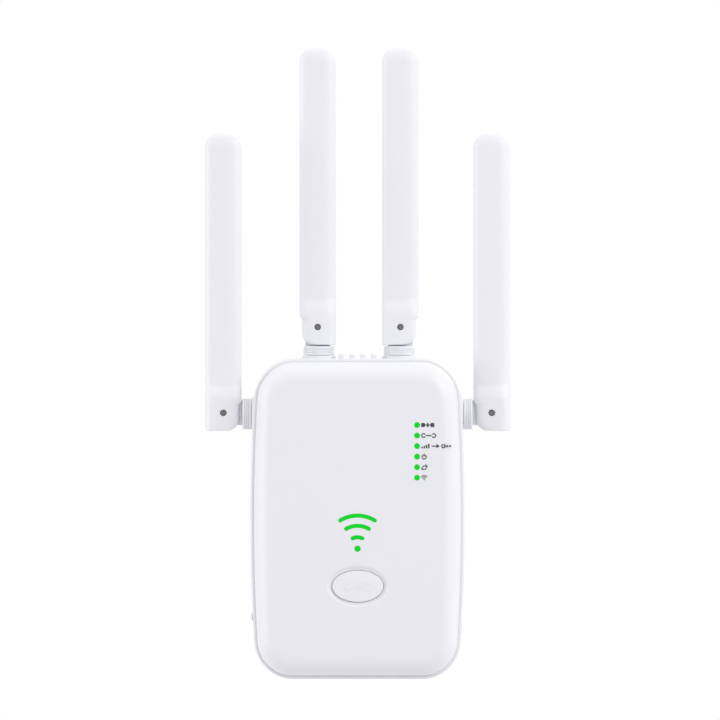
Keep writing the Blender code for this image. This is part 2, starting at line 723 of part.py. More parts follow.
def build_rear_shell():
    shell = half_shell("rear_shell", 0.0, BACK_Y, SEAM_Y, BACK_FILLET, SHELL_WHITE)
    outside = BACK_Y + OVERRUN
    head_seat_y = SCREW_HEAD_Y - SCREW_HEAD_HEIGHT - GAP
    for x, z in corners(SCREW_X, SCREW_Z):
        post = depth_rod("shell_post", POST_RADIUS, x, z, POST_JOINT_Y, BACK_INNER_Y + WALL / 2)
        bore = depth_rod("shell_bore", SCREW_RADIUS + GAP, x, z, POST_JOINT_Y - OVERRUN, outside, 12)
        counterbore = depth_rod("counterbore", SCREW_HEAD_RADIUS + GAP, x, z, head_seat_y, outside)
        combine(shell, add_tool(post), "UNION")
        combine(shell, add_tool(bore), "DIFFERENCE")
        combine(shell, add_tool(counterbore), "DIFFERENCE")
    for x in (-JACK_X, JACK_X):
        combine(shell, add_tool(jack_window(x, GAP)), "DIFFERENCE")
    for name, face, outward, _, _ in socket_places():
        face = Vector(face)
        inner = face - outward * (NECK_FLANGE_Z - GAP)
        collar = rod_mesh(f"{name}_collar", SOCKET_RADIUS, inner, face, 24)
        hole = rod_mesh(f"{name}_hole", NECK_RADIUS + GAP, inner - outward, face + outward, 20)
        combine(shell, add_tool(collar), "UNION")
        combine(shell, add_tool(hole), "DIFFERENCE")
    cut_vents(shell)
    carrier_window = rounded_rectangle(
        CARRIER_HALF_WIDTH + GAP, CARRIER_HALF_HEIGHT + GAP, CARRIER_CORNER + GAP
    )
    window = plate_mesh(
        "carrier_window", shifted(carrier_window, 0.0, PLUG_RISE), BACK_INNER_Y - OVERRUN, outside
    )
    combine(shell, add_tool(window), "DIFFERENCE")
    half_depth = NIB_HALF_DEPTH + GAP
    half_length = NIB_HALF_LENGTH + SLIDER_TRAVEL + GAP
    slider_slot = box_between(
        "slider_slot",
        (-HALF_WIDTH - OVERRUN, SLIDER_Y - half_depth, SLIDER_Z - half_length),
        (-HALF_WIDTH + WALL + 2 * OVERRUN, SLIDER_Y + half_depth, SLIDER_Z + half_length),
    )
    combine(shell, add_tool(slider_slot), "DIFFERENCE")


def build_screws():
    neck = SCREW_HEAD_Y - SCREW_HEAD_HEIGHT
    recess_floor = SCREW_HEAD_Y - SCREW_RECESS_DEPTH
    recess_top = SCREW_HEAD_Y + OVERRUN
    for number, (x, z) in enumerate(corners(SCREW_X, SCREW_Z), 1):
        name = f"housing_screw_{number}"
        shank = depth_rod(name, SCREW_RADIUS, x, z, SCREW_TIP_Y, neck + SCREW_HEAD_HEIGHT / 3, 12)
        screw = add_part(name, shank, PIN_STEEL)
        head = depth_rod("screw_head", SCREW_HEAD_RADIUS, x, z, neck, SCREW_HEAD_Y, 16)
        combine(screw, add_tool(head), "UNION")
        for half_width, half_height in (SCREW_RECESS, SCREW_RECESS[::-1]):
            recess = box_between(
                "screw_recess",
                (x - half_width, recess_floor, z - half_height),
                (x + half_width, recess_top, z + half_height),
            )
            combine(screw, add_tool(recess), "DIFFERENCE")


def build_plug():
    face = shifted(
        rounded_rectangle(CARRIER_HALF_WIDTH, CARRIER_HALF_HEIGHT, CARRIER_CORNER), 0.0, PLUG_RISE
    )
    carrier = add_part("plug_carrier", plate_mesh("plug_carrier", face, CARRIER_BACK_Y, 0.0), SHELL_WHITE)
    flange_half_width = CARRIER_HALF_WIDTH + CARRIER_FLANGE
    flange_half_height = CARRIER_HALF_HEIGHT + CARRIER_LIP
    flange = box_between(
        "carrier_flange",
        (-flange_half_width, CARRIER_BACK_Y, PLUG_RISE - flange_half_height),
        (flange_half_width, BACK_INNER_Y - GAP, PLUG_RISE + flange_half_height),
    )
    combine(carrier, add_tool(flange), "UNION")
    half_width = BLADE_WIDTH / 2
    shoulder = BLADE_LENGTH - BLADE_CHAMFER_LENGTH
    tip_half_width = half_width - BLADE_CHAMFER_WIDTH
    outline = [
        (BLADE_TAIL_Y, PLUG_RISE - half_width),
        (shoulder, PLUG_RISE - half_width),
        (BLADE_LENGTH, PLUG_RISE - tip_half_width),
        (BLADE_LENGTH, PLUG_RISE + tip_half_width),
        (shoulder, PLUG_RISE + half_width),
        (BLADE_TAIL_Y, PLUG_RISE + half_width),
    ]
    for side, sign in (("left", -1), ("right", 1)):
        x = sign * BLADE_X
        low_x, high_x = x - BLADE_THICKNESS / 2, x + BLADE_THICKNESS / 2
        slot = box_between(
            "blade_slot",
            (low_x - GAP, CARRIER_BACK_Y - OVERRUN, PLUG_RISE - half_width - GAP),
            (high_x + GAP, OVERRUN, PLUG_RISE + half_width + GAP),
        )
        combine(carrier, add_tool(slot), "DIFFERENCE")
        name = f"plug_blade_{side}"
        blade = add_part(name, plate_mesh(name, outline, low_x, high_x, "YZ"), BLADE_BRASS)
        eye = rod_mesh(
            "blade_eye",
            BLADE_EYE_RADIUS,
            (low_x - OVERRUN, BLADE_EYE_Y, PLUG_RISE),
            (high_x + OVERRUN, BLADE_EYE_Y, PLUG_RISE),
            12,
        )
        combine(blade, add_tool(eye), "DIFFERENCE")


def build_jacks():
    """Each jack is open at the bottom wall, with a notch for the plug's latch."""
    front_y = BOARD_BACK_Y + GAP
    low = front_y + JACK_MOUTH_FLOOR
    high = low + JACK_MOUTH_HEIGHT
    for name, x in (("wan_jack", -JACK_X), ("lan_jack", JACK_X)):
        body = box_between(
            name,
            (x - JACK_WIDTH / 2, front_y, JACK_FACE_Z),
            (x + JACK_WIDTH / 2, JACK_BACK_Y, JACK_FACE_Z + JACK_LENGTH),
        )
        jack = add_part(name, body, PART_BLACK)
        mouth = [
            (x - JACK_MOUTH_HALF_WIDTH, low),
            (x + JACK_MOUTH_HALF_WIDTH, low),
            (x + JACK_MOUTH_HALF_WIDTH, high),
            (x + LATCH_HALF_WIDTH, high),
            (x + LATCH_HALF_WIDTH, high + LATCH_HEIGHT),
            (x - LATCH_HALF_WIDTH, high + LATCH_HEIGHT),
            (x - LATCH_HALF_WIDTH, high),
            (x - JACK_MOUTH_HALF_WIDTH, high),
        ]
        cavity = plate_mesh(
            f"{name}_mouth", mouth, JACK_FACE_Z - OVERRUN, JACK_FACE_Z + JACK_MOUTH_DEPTH, "XY"
        )
        combine(jack, add_tool(cavity), "DIFFERENCE")


def build_main_board():
    """A board with a tab beside the slider, its peg holes and its chips."""
    tab_top, tab_bottom = SLIDER_Z + BOARD_TAB_HALF_LENGTH, SLIDER_Z - BOARD_TAB_HALF_LENGTH
    outline = [
        (-BOARD_HALF_WIDTH, BOARD_BOTTOM),
        (BOARD_HALF_WIDTH, BOARD_BOTTOM),
        (BOARD_HALF_WIDTH, BOARD_TOP),
        (-BOARD_HALF_WIDTH, BOARD_TOP),
        (-BOARD_HALF_WIDTH, tab_top),
        (MODE_SWITCH_LEFT, tab_top),
        (MODE_SWITCH_LEFT, tab_bottom),
        (-BOARD_HALF_WIDTH, tab_bottom),
    ]
    board = add_part(
        "main_board", plate_mesh("main_board", outline, BOARD_FRONT_Y, BOARD_BACK_Y), BOARD_GREEN
    )
    for x, z in corners(PEG_X, PEG_Z):
        hole = depth_rod(
            "peg_hole", PEG_RADIUS + GAP, x, z, BOARD_FRONT_Y - OVERRUN, BOARD_BACK_Y + OVERRUN, 10
        )
        combine(board, add_tool(hole), "DIFFERENCE")
    back = BOARD_BACK_Y + GAP
    materials = {"shield": SHIELD_TIN, "black": PART_BLACK}
    for name, (left, bottom), (right, top), height, kind in CHIPS:
        chip = box_between(name, (left, back, bottom), (right, back + height, top))
        add_part(name, chip, materials[kind])


def build_power_supply():
    front = POWER_BOARD_BACK_Y - POWER_BOARD_THICKNESS
    board = box_between(
        "power_board",
        (-POWER_BOARD_HALF_WIDTH, front, -POWER_BOARD_HALF_HEIGHT),
        (POWER_BOARD_HALF_WIDTH, POWER_BOARD_BACK_Y, POWER_BOARD_HALF_HEIGHT),
    )
    add_part("power_board", board, BOARD_GREEN)
    surface = front - GAP
    (left, bottom), (right, top) = TRANSFORMER_LOW, TRANSFORMER_HIGH
    transformer = box_between(
        "power_transformer", (left, surface - TRANSFORMER_HEIGHT, bottom), (right, surface, top)
    )
    add_part("power_transformer", transformer, PART_BLACK)
    for name, radius, length, x, z in CAPACITORS:
        add_part(name, depth_rod(name, radius, x, z, surface - length, surface), PART_BLACK)
    fuse_ends = [(x, surface - FUSE_LIFT, FUSE_Z) for x in FUSE_ENDS_X]
    add_part("fuse", rod_mesh("fuse", FUSE_RADIUS, *fuse_ends, 12), SHIELD_TIN)


def build_mode_slider():
    """A nib outside the wall, a flange inside it and an arm into the switch."""
    place = (0.0, SLIDER_Y, SLIDER_Z)
    wall_x = -half_width_at(SLIDER_Z)
    flange_front = wall_x + WALL + GAP
    flange_back = wall_x + WALL + SLIDER_FLANGE_BACK
    flange_middle = (flange_front + flange_back) / 2
    nib = box_between(
        "mode_slider",
        (wall_x - SLIDER_PROUD, -NIB_HALF_DEPTH, -NIB_HALF_LENGTH),
        (flange_middle, NIB_HALF_DEPTH, NIB_HALF_LENGTH),
    )
    slider = add_part("mode_slider", nib, SLIDER_GREY, place)
    flange = box_between(
        "slider_flange",
        (flange_front, -SLIDER_FLANGE_HALF_DEPTH, -SLIDER_FLANGE_HALF_LENGTH),
        (flange_back, SLIDER_FLANGE_HALF_DEPTH, SLIDER_FLANGE_HALF_LENGTH),
    )
    arm = box_between(
        "slider_arm",
        (flange_middle, -ARM_HALF_DEPTH, -ARM_HALF_LENGTH),
        (ARM_TIP_X, ARM_HALF_DEPTH, ARM_HALF_LENGTH),
    )
    for shape in (flange, arm):
        combine(slider, add_tool(shape, place), "UNION")
    front = BOARD_BACK_Y + GAP
    switch_mesh = box_between(
        "mode_switch",
        (MODE_SWITCH_LEFT, front, SLIDER_Z - MODE_SWITCH_HALF_LENGTH),
        (MODE_SWITCH_RIGHT, front + MODE_SWITCH_DEPTH, SLIDER_Z + MODE_SWITCH_HALF_LENGTH),
    )
    switch = add_part("mode_switch", switch_mesh, SHIELD_TIN)
    reach = ARM_HALF_LENGTH + SLIDER_TRAVEL + GAP
    half_depth = ARM_HALF_DEPTH + GAP
    slot = box_between(
        "switch_slot",
        (MODE_SWITCH_LEFT - OVERRUN, SLIDER_Y - half_depth, SLIDER_Z - reach),
        (ARM_TIP_X + GAP, SLIDER_Y + half_depth, SLIDER_Z + reach),
    )
    combine(switch, add_tool(slot), "DIFFERENCE")


def barrel_mesh():
    """Swivel barrel with its neck, retaining flange and tongue, axis on Z."""
    face = GAP + BARREL_LENGTH
    neck_end = -NECK_FLANGE_Z - NECK_FLANGE_THICKNESS
    profile = [
        (0.0, face),
        (BARREL_RADIUS - BARREL_EDGE, face),
        (BARREL_RADIUS, face - BARREL_EDGE),
        (BARREL_RADIUS, GAP),
        (NECK_RADIUS, GAP),
        (NECK_RADIUS, -NECK_FLANGE_Z),
        (NECK_FLANGE_RADIUS, -NECK_FLANGE_Z),
        (NECK_FLANGE_RADIUS - NECK_FLANGE_TAPER, neck_end),
        (0.0, neck_end),
    ]
    barrel = bpy.data.objects.new("barrel", turned_mesh("barrel", profile, 20))
    PARTS.objects.link(barrel)
    root = face - TONGUE_ROOT
    outline = [(PIN_OFFSET - TONGUE_RADIUS, root), (PIN_OFFSET + TONGUE_RADIUS, root)]
    outline += arc((PIN_OFFSET, PIN_OUT), TONGUE_RADIUS, 0.0, math.pi, 8)
    half = TONGUE_THICKNESS / 2
    tongue = add_tool(plate_mesh("tongue", outline, -half, half), parent=None)
    bore_ends = [(PIN_OFFSET, side * TONGUE_THICKNESS, PIN_OUT) for side in (-1, 1)]
    pin_bore = add_tool(rod_mesh("tongue_bore", PIN_RADIUS + GAP, *bore_ends, 12), parent=None)
    lead_ends = [(0.0, 0.0, neck_end - OVERRUN), (0.0, 0.0, face - OVERRUN)]
    lead_bore = add_tool(rod_mesh("lead_bore", LEAD_BORE_RADIUS, *lead_ends, 10), parent=None)
    combine(barrel, tongue, "UNION")
    combine(barrel, pin_bore, "DIFFERENCE")
    combine(barrel, lead_bore, "DIFFERENCE")
    return finish_mesh(barrel)


def section(half_width, half_thickness, power, sides=20):
    """A superellipse, from nearly round at a power of 2 to boxy at high powers."""
    points = []
    for step in range(sides):
        angle = 2 * math.pi * (step + 0.5) / sides
        across, through = math.cos(angle), math.sin(angle)
        points.append(
            (
                math.copysign(abs(across) ** (2 / power), across) * half_width,
                math.copysign(abs(through) ** (2 / power), through) * half_thickness,
            )
        )
    return points


def paddle_sections():
    """Height, half width, half thickness and power of each section, foot to tip."""
    stations = [
        (PADDLE_FOOT, PADDLE_HALF_WIDTH, CHEEK_HALF_THICKNESS, 5.0),
        (SCOOP_START, PADDLE_HALF_WIDTH, CHEEK_HALF_THICKNESS, 5.0),
        ((SCOOP_START + SCOOP_END) / 2, PADDLE_HALF_WIDTH, BLADE_HALF_THICKNESS + 0.2, 4.0),
        (SCOOP_END, PADDLE_HALF_WIDTH, BLADE_HALF_THICKNESS, 3.2),
        (PADDLE_TIP - TIP_RADIUS, PADDLE_HALF_WIDTH, BLADE_HALF_THICKNESS, 3.2),
    ]
    for degrees in (25, 48, 68, 84):
        angle = math.radians(degrees)
        drawn_in = TIP_RADIUS * (1 - math.cos(angle))
        height = PADDLE_TIP - TIP_RADIUS + TIP_RADIUS * math.sin(angle)
        thinner = BLADE_HALF_THICKNESS * (1 - 0.75 * (1 - math.cos(angle)))
        stations.append((height, PADDLE_HALF_WIDTH - drawn_in, thinner, 3.2))
    return stations


def paddle_mesh():
    """Hollow paddle with its clevis, pin on the origin, tip up +Z, folding to +X."""
    bm = bmesh.new()
    rings = []
    for height, half_width, half_thickness, power in paddle_sections():
        outline = section(half_width, half_thickness, power)
        rings.append([bm.verts.new((x * MM, y * MM, height * MM)) for x, y in outline])
    for lower, upper in zip(rings, rings[1:]):
        for step in range(len(lower)):
            after = (step + 1) % len(lower)
            bm.faces.new((lower[step], lower[after], upper[after], upper[step]))
    bm.faces.new(list(reversed(rings[0])))
    bm.faces.new(rings[-1])
    paddle = bpy.data.objects.new("paddle", mesh_from(bm, "paddle"))
    PARTS.objects.link(paddle)
    reach = 8.0
    corner = (FOLD_SIDE_HALF_WIDTH - FOLD_CORNER, PADDLE_FOOT + FOLD_CORNER)
    relief = [(reach, FOLD_SIDE_STEP + FOLD_SIDE_SLOPE), (FOLD_SIDE_HALF_WIDTH, FOLD_SIDE_STEP)]
    relief += arc(corner, FOLD_CORNER, 0.0, -math.pi / 2, 6)
    relief += [(corner[0], -reach), (reach, -reach)]
    slot = [
        (-SLOT_REACH, -reach),
        (reach, -reach),
        (reach, SLOT_REACH),
        (-SLOT_REACH, SLOT_REACH),
    ]
    cavity = box_between(
        "radiator_cavity",
        (-CAVITY_HALF_WIDTH, -CAVITY_HALF_THICKNESS, SLOT_REACH - OVERRUN),
        (CAVITY_HALF_WIDTH, CAVITY_HALF_THICKNESS, CAVITY_TOP),
    )
    half_slot = TONGUE_THICKNESS / 2 + GAP
    cutters = (
        plate_mesh("fold_relief", relief, -reach, reach),
        plate_mesh("clevis_slot", slot, -half_slot, half_slot),
        cavity,
        rod_mesh("clevis_bore", PIN_RADIUS + GAP, (0, -reach, 0), (0, reach, 0), 14),
    )
    for cutter in cutters:
        combine(paddle, add_tool(cutter, parent=None), "DIFFERENCE")
    return finish_mesh(paddle)


def lead_route(place, start):
    """The lead's middle line, from the barrel's end to the main board."""
    side = -1 if start[0] < 0 else 1
    rise = BOARD_BACK_Y + GAP
    if place.startswith("top"):
        end = (side * 10.5, rise, 38.0)
        points = (start, (start[0], start[1] - 1.5, start[2] - 5.0), (end[0], rise + 6.0, 41.0), end)
    else:
        end = (side * 17.5, rise, 27.0)
        points = (start, (side * 25.0, start[1] + 1.5, 33.0), (end[0], rise + 4.5, 29.5), end)
    return [Vector(point) for point in points]


def lead_curve(name, route):
    """A thin tube on the smooth curve through four control points."""
    curve = bpy.data.curves.new(name, "CURVE")
    curve.dimensions = "3D"
    curve.bevel_depth = LEAD_RADIUS * MM
    curve.bevel_resolution = 1
    curve.use_fill_caps = True
    spline = curve.splines.new("POLY")
    steps = 8
    spline.points.add(steps)
    for step in range(steps + 1):
        t = step / steps
        weights = ((1 - t) ** 3, 3 * t * (1 - t) ** 2, 3 * t * t * (1 - t), t ** 3)
        place = sum((point * weight for point, weight in zip(route, weights)), Vector())
        spline.points[step].co = (*(place * MM), 1.0)
    return curve


def build_antennas():
    barrel = barrel_mesh()
    paddle = paddle_mesh()
    pin = rod_mesh("pin", PIN_RADIUS, (0, -PIN_HALF_LENGTH, 0), (0, PIN_HALF_LENGTH, 0), 14)
    radiator = box_between(
        "radiator",
        (-RADIATOR_HALF_WIDTH, -RADIATOR_HALF_THICKNESS, RADIATOR_ENDS[0]),
        (RADIATOR_HALF_WIDTH, RADIATOR_HALF_THICKNESS, RADIATOR_ENDS[1]),
    )
    for place, face, outward, fold_side, rest_fold in socket_places():
        swivel = new_empty(f"{place}_swivel", face, HOUSING)
        through = outward.cross(fold_side)
        turn = Matrix((fold_side, through, outward)).transposed()
        swivel.rotation_euler = turn.to_euler()
        add_part(f"{place}_barrel", barrel, ANTENNA_WHITE, parent=swivel)
        pin_place = (PIN_OFFSET, 0.0, PIN_OUT)
        for kind, mesh, material in (
            ("antenna", paddle, ANTENNA_WHITE),
            ("radiator", radiator, COPPER),
        ):
            part = add_part(f"{place}_{kind}", mesh, material, pin_place, swivel)
            part.rotation_euler = (0.0, rest_fold, 0.0)
        add_part(f"{place}_pin", pin, PIN_STEEL, pin_place, swivel)
        start = Vector(face) - outward * (NECK_FLANGE_Z + NECK_FLANGE_THICKNESS + 2 * GAP)
        lead = lead_curve(f"{place}_lead", lead_route(place, start))
        add_part(f"{place}_lead", lead, LEAD_GREY)


build_front_cover()
build_rear_shell()
build_screws()
build_lights()
build_button()
build_plug()
build_jacks()
build_main_board()
build_power_supply()
build_mode_slider()
build_antennas()
shade_round_pieces()
bpy.context.view_layer.update()
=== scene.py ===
"""Looks of the plug-in Wi-Fi range extender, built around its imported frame.

Lengths are millimetres in the frame's own axes: +Z is up, the front faces -Y and
the wall plane is Y = 0.  Places come from the frame's nodes and joints.
"""

import json
import math
from functools import partial

import bmesh
import bpy
from mathutils import Matrix, Vector


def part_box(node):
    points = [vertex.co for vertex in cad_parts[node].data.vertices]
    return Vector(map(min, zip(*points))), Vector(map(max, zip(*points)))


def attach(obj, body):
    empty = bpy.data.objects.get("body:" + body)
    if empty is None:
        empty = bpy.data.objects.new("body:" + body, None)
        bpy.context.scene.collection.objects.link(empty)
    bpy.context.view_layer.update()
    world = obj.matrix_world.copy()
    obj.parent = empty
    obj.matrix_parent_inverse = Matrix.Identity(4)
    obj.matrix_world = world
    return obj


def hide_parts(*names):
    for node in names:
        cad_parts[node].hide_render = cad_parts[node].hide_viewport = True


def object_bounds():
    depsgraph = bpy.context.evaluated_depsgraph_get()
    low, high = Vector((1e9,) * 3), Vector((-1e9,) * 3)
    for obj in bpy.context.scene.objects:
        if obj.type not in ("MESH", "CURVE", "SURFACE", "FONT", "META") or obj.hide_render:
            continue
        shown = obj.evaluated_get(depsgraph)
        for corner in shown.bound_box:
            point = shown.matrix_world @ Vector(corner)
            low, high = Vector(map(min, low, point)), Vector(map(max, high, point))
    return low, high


MM = 0.001

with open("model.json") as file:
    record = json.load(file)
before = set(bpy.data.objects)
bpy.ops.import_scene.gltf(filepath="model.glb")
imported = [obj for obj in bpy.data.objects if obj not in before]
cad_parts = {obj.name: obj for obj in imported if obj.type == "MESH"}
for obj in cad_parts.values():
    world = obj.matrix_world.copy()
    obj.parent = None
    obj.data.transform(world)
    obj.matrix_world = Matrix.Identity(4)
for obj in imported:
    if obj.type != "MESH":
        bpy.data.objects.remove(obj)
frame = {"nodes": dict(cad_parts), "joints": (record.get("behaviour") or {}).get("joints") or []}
CAD_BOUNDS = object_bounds()
JOINTS = {joint["name"]: joint for joint in frame["joints"]}


def box(node):
    """Lowest and highest corner of a CAD node, in millimetres."""
    low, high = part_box(node)
    return low / MM, high / MM


def middle(node):
    low, high = box(node)
    return (low + high) / 2


# Housing, from the front cover's box.
COVER_LOW, COVER_HIGH = box("front_cover")
SHELL_LOW, SHELL_HIGH = box("rear_shell")
CARRIER_LOW, CARRIER_HIGH = box("plug_carrier")
COVER_INSET = 1.2
HALF_WIDTH = (COVER_HIGH.x - COVER_LOW.x) / 2 + COVER_INSET
HALF_HEIGHT = (COVER_HIGH.z - COVER_LOW.z) / 2 + COVER_INSET
CENTRE_Z = (COVER_HIGH.z + COVER_LOW.z) / 2
FRONT_Y = COVER_LOW.y
SEAM_Y = SHELL_LOW.y
BACK_Y = SHELL_HIGH.y
BULGE_RADIUS = 700.0
TOP_CORNER = 13.5
BOTTOM_CORNER = 12.5
WALL = 2.0
COVER_FILLET = 6.8
BACK_FILLET = 4.0
RIM_EDGE = 0.2
SHELL_RIM_EDGE = 0.65
RIM_STEPS = 5
FLAT_MARGIN = 0.5
COVER_INNER_Y = FRONT_Y + WALL
BACK_INNER_Y = BACK_Y - WALL
GAP = 0.3  # between neighbouring pieces
ROOT = 0.5  # how far a post reaches into the wall that it stands on
OVERSHOOT = 1.0  # how far a cutter passes through a surface
COVER_RIM_Y = SEAM_Y - GAP

# Steps of curved outlines.
CORNER_STEPS = 18
SIDE_STEPS = 26
FILLET_STEPS = 14
ROUND_STEPS = 40

# Screws, their posts and wells, and the pegs that hold the main board.
SCREWS = [f"housing_screw_{number}" for number in range(1, 5)]
POST_JOINT_Y = -22.0
COVER_POST_RADIUS = 3.0
SHELL_POST_RADIUS = 4.0
PILOT_RADIUS = 1.6
WELL_RADIUS = 2.8
WELL_MOUTH_RADIUS = 3.1
HEAD_HEIGHT = 2.0
PEG_X = 20.0
PEG_Z = 42.0
PEG_RADIUS = 2.2
PEG_TIP_RADIUS = 1.1
PEG_TIP_EDGE = 0.3
PEG_RISE = 1.0  # of the peg's tip above the board
BOARD_LOW, BOARD_HIGH = box("main_board")

# Lights and the signs beside them.
SIGNAL_DOT_RADIUS = 1.0
SIGNAL_DOT_RISE = 2.6  # from the lower edge of the light guide's plate
SIGNAL_STROKE = 1.26
SIGNAL_ARCS = ((3.8, 25.0), (7.6, 30.0), (11.0, 31.5))  # radius and half angle in degrees
STATUS_RADIUS = 0.92
STATUS_COUNT = 6
STATUS_DOME = 0.16
STATUS_PLATE = 1.2
LIGHT_SEAM = 0.06
SIGNAL_PROUD = 0.04
SIGNAL_EDGE = 0.18
PRINT_HEIGHT = 0.03
PRINT_ROOT = 0.1
PRINT_OFFSET = 1.35  # of the signs from the middle of their lights
SIGNAL_PLATE_LOW, SIGNAL_PLATE_HIGH = box("signal_light_guide")
SIGNAL_CENTRE = (0.0, SIGNAL_PLATE_LOW.z + SIGNAL_DOT_RISE)
STATUS_PLACES = [middle(f"status_led_{number}") for number in range(1, STATUS_COUNT + 1)]
LIGHT_PLATE_Y = COVER_INNER_Y + GAP

# Button in its dish.
DISH_GROWTH = 1.7
DISH_DEPTH = 0.85
BUTTON_GAP = 0.14
BUTTON_EDGE = 0.35
BUTTON_FLANGE = 1.0
BUTTON_CROWN = 0.22
BUTTON_RELIEF = 0.1
BUTTON_FLANGE_THICKNESS = 1.0
BUTTON_STEM_RADIUS = 2.0
BUTTON_LOW, BUTTON_HIGH = box("wps_button")
BUTTON_CENTRE = (middle("wps_button").x, middle("wps_button").z)
BUTTON_HALF_WIDTH = (BUTTON_HIGH.x - BUTTON_LOW.x) / 2 - BUTTON_FLANGE
BUTTON_HALF_HEIGHT = (BUTTON_HIGH.z - BUTTON_LOW.z) / 2 - BUTTON_FLANGE

# Mode slider, in its slot in the side wall.
SLIDER_PROUD = 0.4
SLIDER_HALF_DEPTH = 1.2
SLIDER_HALF_HEIGHT = 1.3
SLIDER_CORNER = 0.3
SLIDER_GROOVES = 3
SLIDER_GROOVE_PITCH = 0.75
SLIDER_GROOVE_HALF = 0.14
SLIDER_GROOVE_DEPTH = 0.25
SLOT_HALF_DEPTH = 1.5
SLOT_HALF_HEIGHT = 3.1
SLOT_CORNER = 0.6

# Ribs and slots of the top vent, and the two rows of slots in the back.
RIB_PITCH = 3.6
RIB_COUNT = 4
RIB_Y = -13.5
RIB_HALF_WIDTH = 0.9
RIB_HALF_LENGTH = 5.5
RIB_EDGE = 0.25
TOP_SLOT_HALF_WIDTH = 0.8
TOP_SLOT_HALF_LENGTH = 4.5
VENT_PITCH = 5.2
VENT_COUNT = 7
VENT_HALF_WIDTH = 0.9
VENT_ROWS = ((27.0, 38.0), (-30.0, -16.0))  # lowest and highest point from the housing's middle
ROUND_END = 0.01  # by which a slot's corner radius stays under its half width
BACK_CHAMFER = 0.25

# Plug: its carrier's raised face and the two blades.
BLADES = ("plug_blade_left", "plug_blade_right")
PLUG_CENTRE = ((middle(BLADES[0]).x + middle(BLADES[1]).x) / 2, middle(BLADES[0]).z)
PLUG_HALF_WIDTH = 17.0
PLUG_HALF_HEIGHT = 13.0
PLUG_CORNER = 5.0
PLUG_EDGE = 0.6
PLUG_EDGE_STEPS = 5
BLADE_SEAM = 0.08
BLADE_EDGE = 0.18
BLADE_TIP = ((0.0, 2.0), (0.3, 1.0), (1.0, 0.3), (1.6, 0.0))  # inset and distance from the tip
BLADE_TAPER = 0.28
EYE_RADIUS = 1.6
EYE_FROM_TIP = 5.6
EYE_EDGE = 0.25

# Network jacks and their contacts.
JACKS = ("wan_jack", "lan_jack")
JACK_EDGE = 0.3
JACK_WINDOW_DEPTH = 5.0
MOUTH_HALF_WIDTH = 6.0
MOUTH_FRONT = 1.6
MOUTH_BACK = 8.6
MOUTH_DEPTH = 14.0
MOUTH_CHAMFER = 0.35
LATCH_HALF_WIDTH = 3.2
LATCH_DEPTH = 2.6
CONTACT_COUNT = 8
CONTACT_PITCH = 1.02
CONTACT_RADIUS = 0.22
# A contact's distance from the mouth's front wall and from the jack's face.
CONTACT_ROUTE = ((0.1, 13.6), (0.5, 12.0), (0.6, 10.5), (1.2, 8.0), (2.3, 5.0), (2.5, 4.0), (2.2, 3.4))

# Antennas, measured from the pin with the tip up.
PADDLE_HALF_WIDTH = 6.07
PADDLE_TIP = 92.97
PADDLE_FOOT = -6.0
CHEEK_HALF_THICKNESS = 4.0
CHEEK_POWER = 3.6
BLADE_HALF_THICKNESS = 2.65
BLADE_POWER = 2.25
TIP_RADIUS = 4.4
SCOOP_START = 4.5
SCOOP_END = 9.9
FOLD_SIDE_HALF_WIDTH = 5.3
FOLD_SIDE_STEP = 2.3
FOLD_SIDE_SLOPE = 1.2
FOLD_CORNER = 4.0
FOOT_EDGE = 0.45
TIP_STEPS = 14
SCOOP_STEPS = 18
CAVITY = ((-4.0, -1.6, 3.5), (4.0, 1.6, 89.0))  # for the radiator
CLEVIS_SLOT = ((-4.5, -1.8, -9.0), (9.0, 1.8, 4.5))
PIN_RADIUS = 1.1
PIN_HALF_LENGTH = 3.4
PIN_BORE = 1.25
BORE_LIP = 0.15

# Sockets of the antennas, with their way out of the housing.
SOCKETS = {
    "top_left": Vector((0, 0, 1)),
    "top_right": Vector((0, 0, 1)),
    "side_left": Vector((-1, 0, 0)),
    "side_right": Vector((1, 0, 0)),
}
SOCKET_RADIUS = 5.6
SOCKET_EDGE = 0.25
NECK_HOLE = 3.7
COLLAR_DEPTH = 3.9

# Swivel barrel, measured from its socket's face along its axis.
BARREL_RADIUS = 5.15
BARREL_EDGE = 0.35
BARREL_START = 0.08
BARREL_FACE = 3.1
BARREL_GROOVES = (1.1, 1.7, 2.3)
GROOVE_WIDTH = 0.3
GROOVE_DEPTH = 0.24
FLANGE_RADIUS = 4.4
FLANGE_FACE = -4.2
FLANGE_END = -5.7
NECK_RADIUS = 3.4
LEAD_BORE = 1.0
PIN_OFFSET = 0.4
PIN_OUT = 9.5
TONGUE_RADIUS = 4.1
TONGUE_HALF_THICKNESS = 1.5


# ---- Mesh helpers


def linked(name, data):
    """A new object of the scene with the given mesh, camera or light."""
    item = bpy.data.objects.new(name, data)
    bpy.context.scene.collection.objects.link(item)
    return item


def mesh_of(name, bm):
    bmesh.ops.recalc_face_normals(bm, faces=bm.faces)
    mesh = bpy.data.meshes.new(name)
    bm.to_mesh(mesh)
    bm.free()
    return mesh


def lofted(name, rings):
    """A closed solid through rings of points, with a cap at each end."""
    bm = bmesh.new()
    loops = [[bm.verts.new(Vector(point) * MM) for point in ring] for ring in rings]
    for lower, upper in zip(loops, loops[1:]):
        for here in range(len(lower)):
            after = (here + 1) % len(lower)
            bm.faces.new((lower[here], lower[after], upper[after], upper[here]))
    bm.faces.new(list(reversed(loops[0])))
    bm.faces.new(loops[-1])
    return mesh_of(name, bm)


AXES = {
    "X": lambda across, up, depth: Vector((depth, across, up)),
    "Y": lambda across, up, depth: Vector((across, depth, up)),
    "Z": lambda across, up, depth: Vector((across, up, depth)),
}


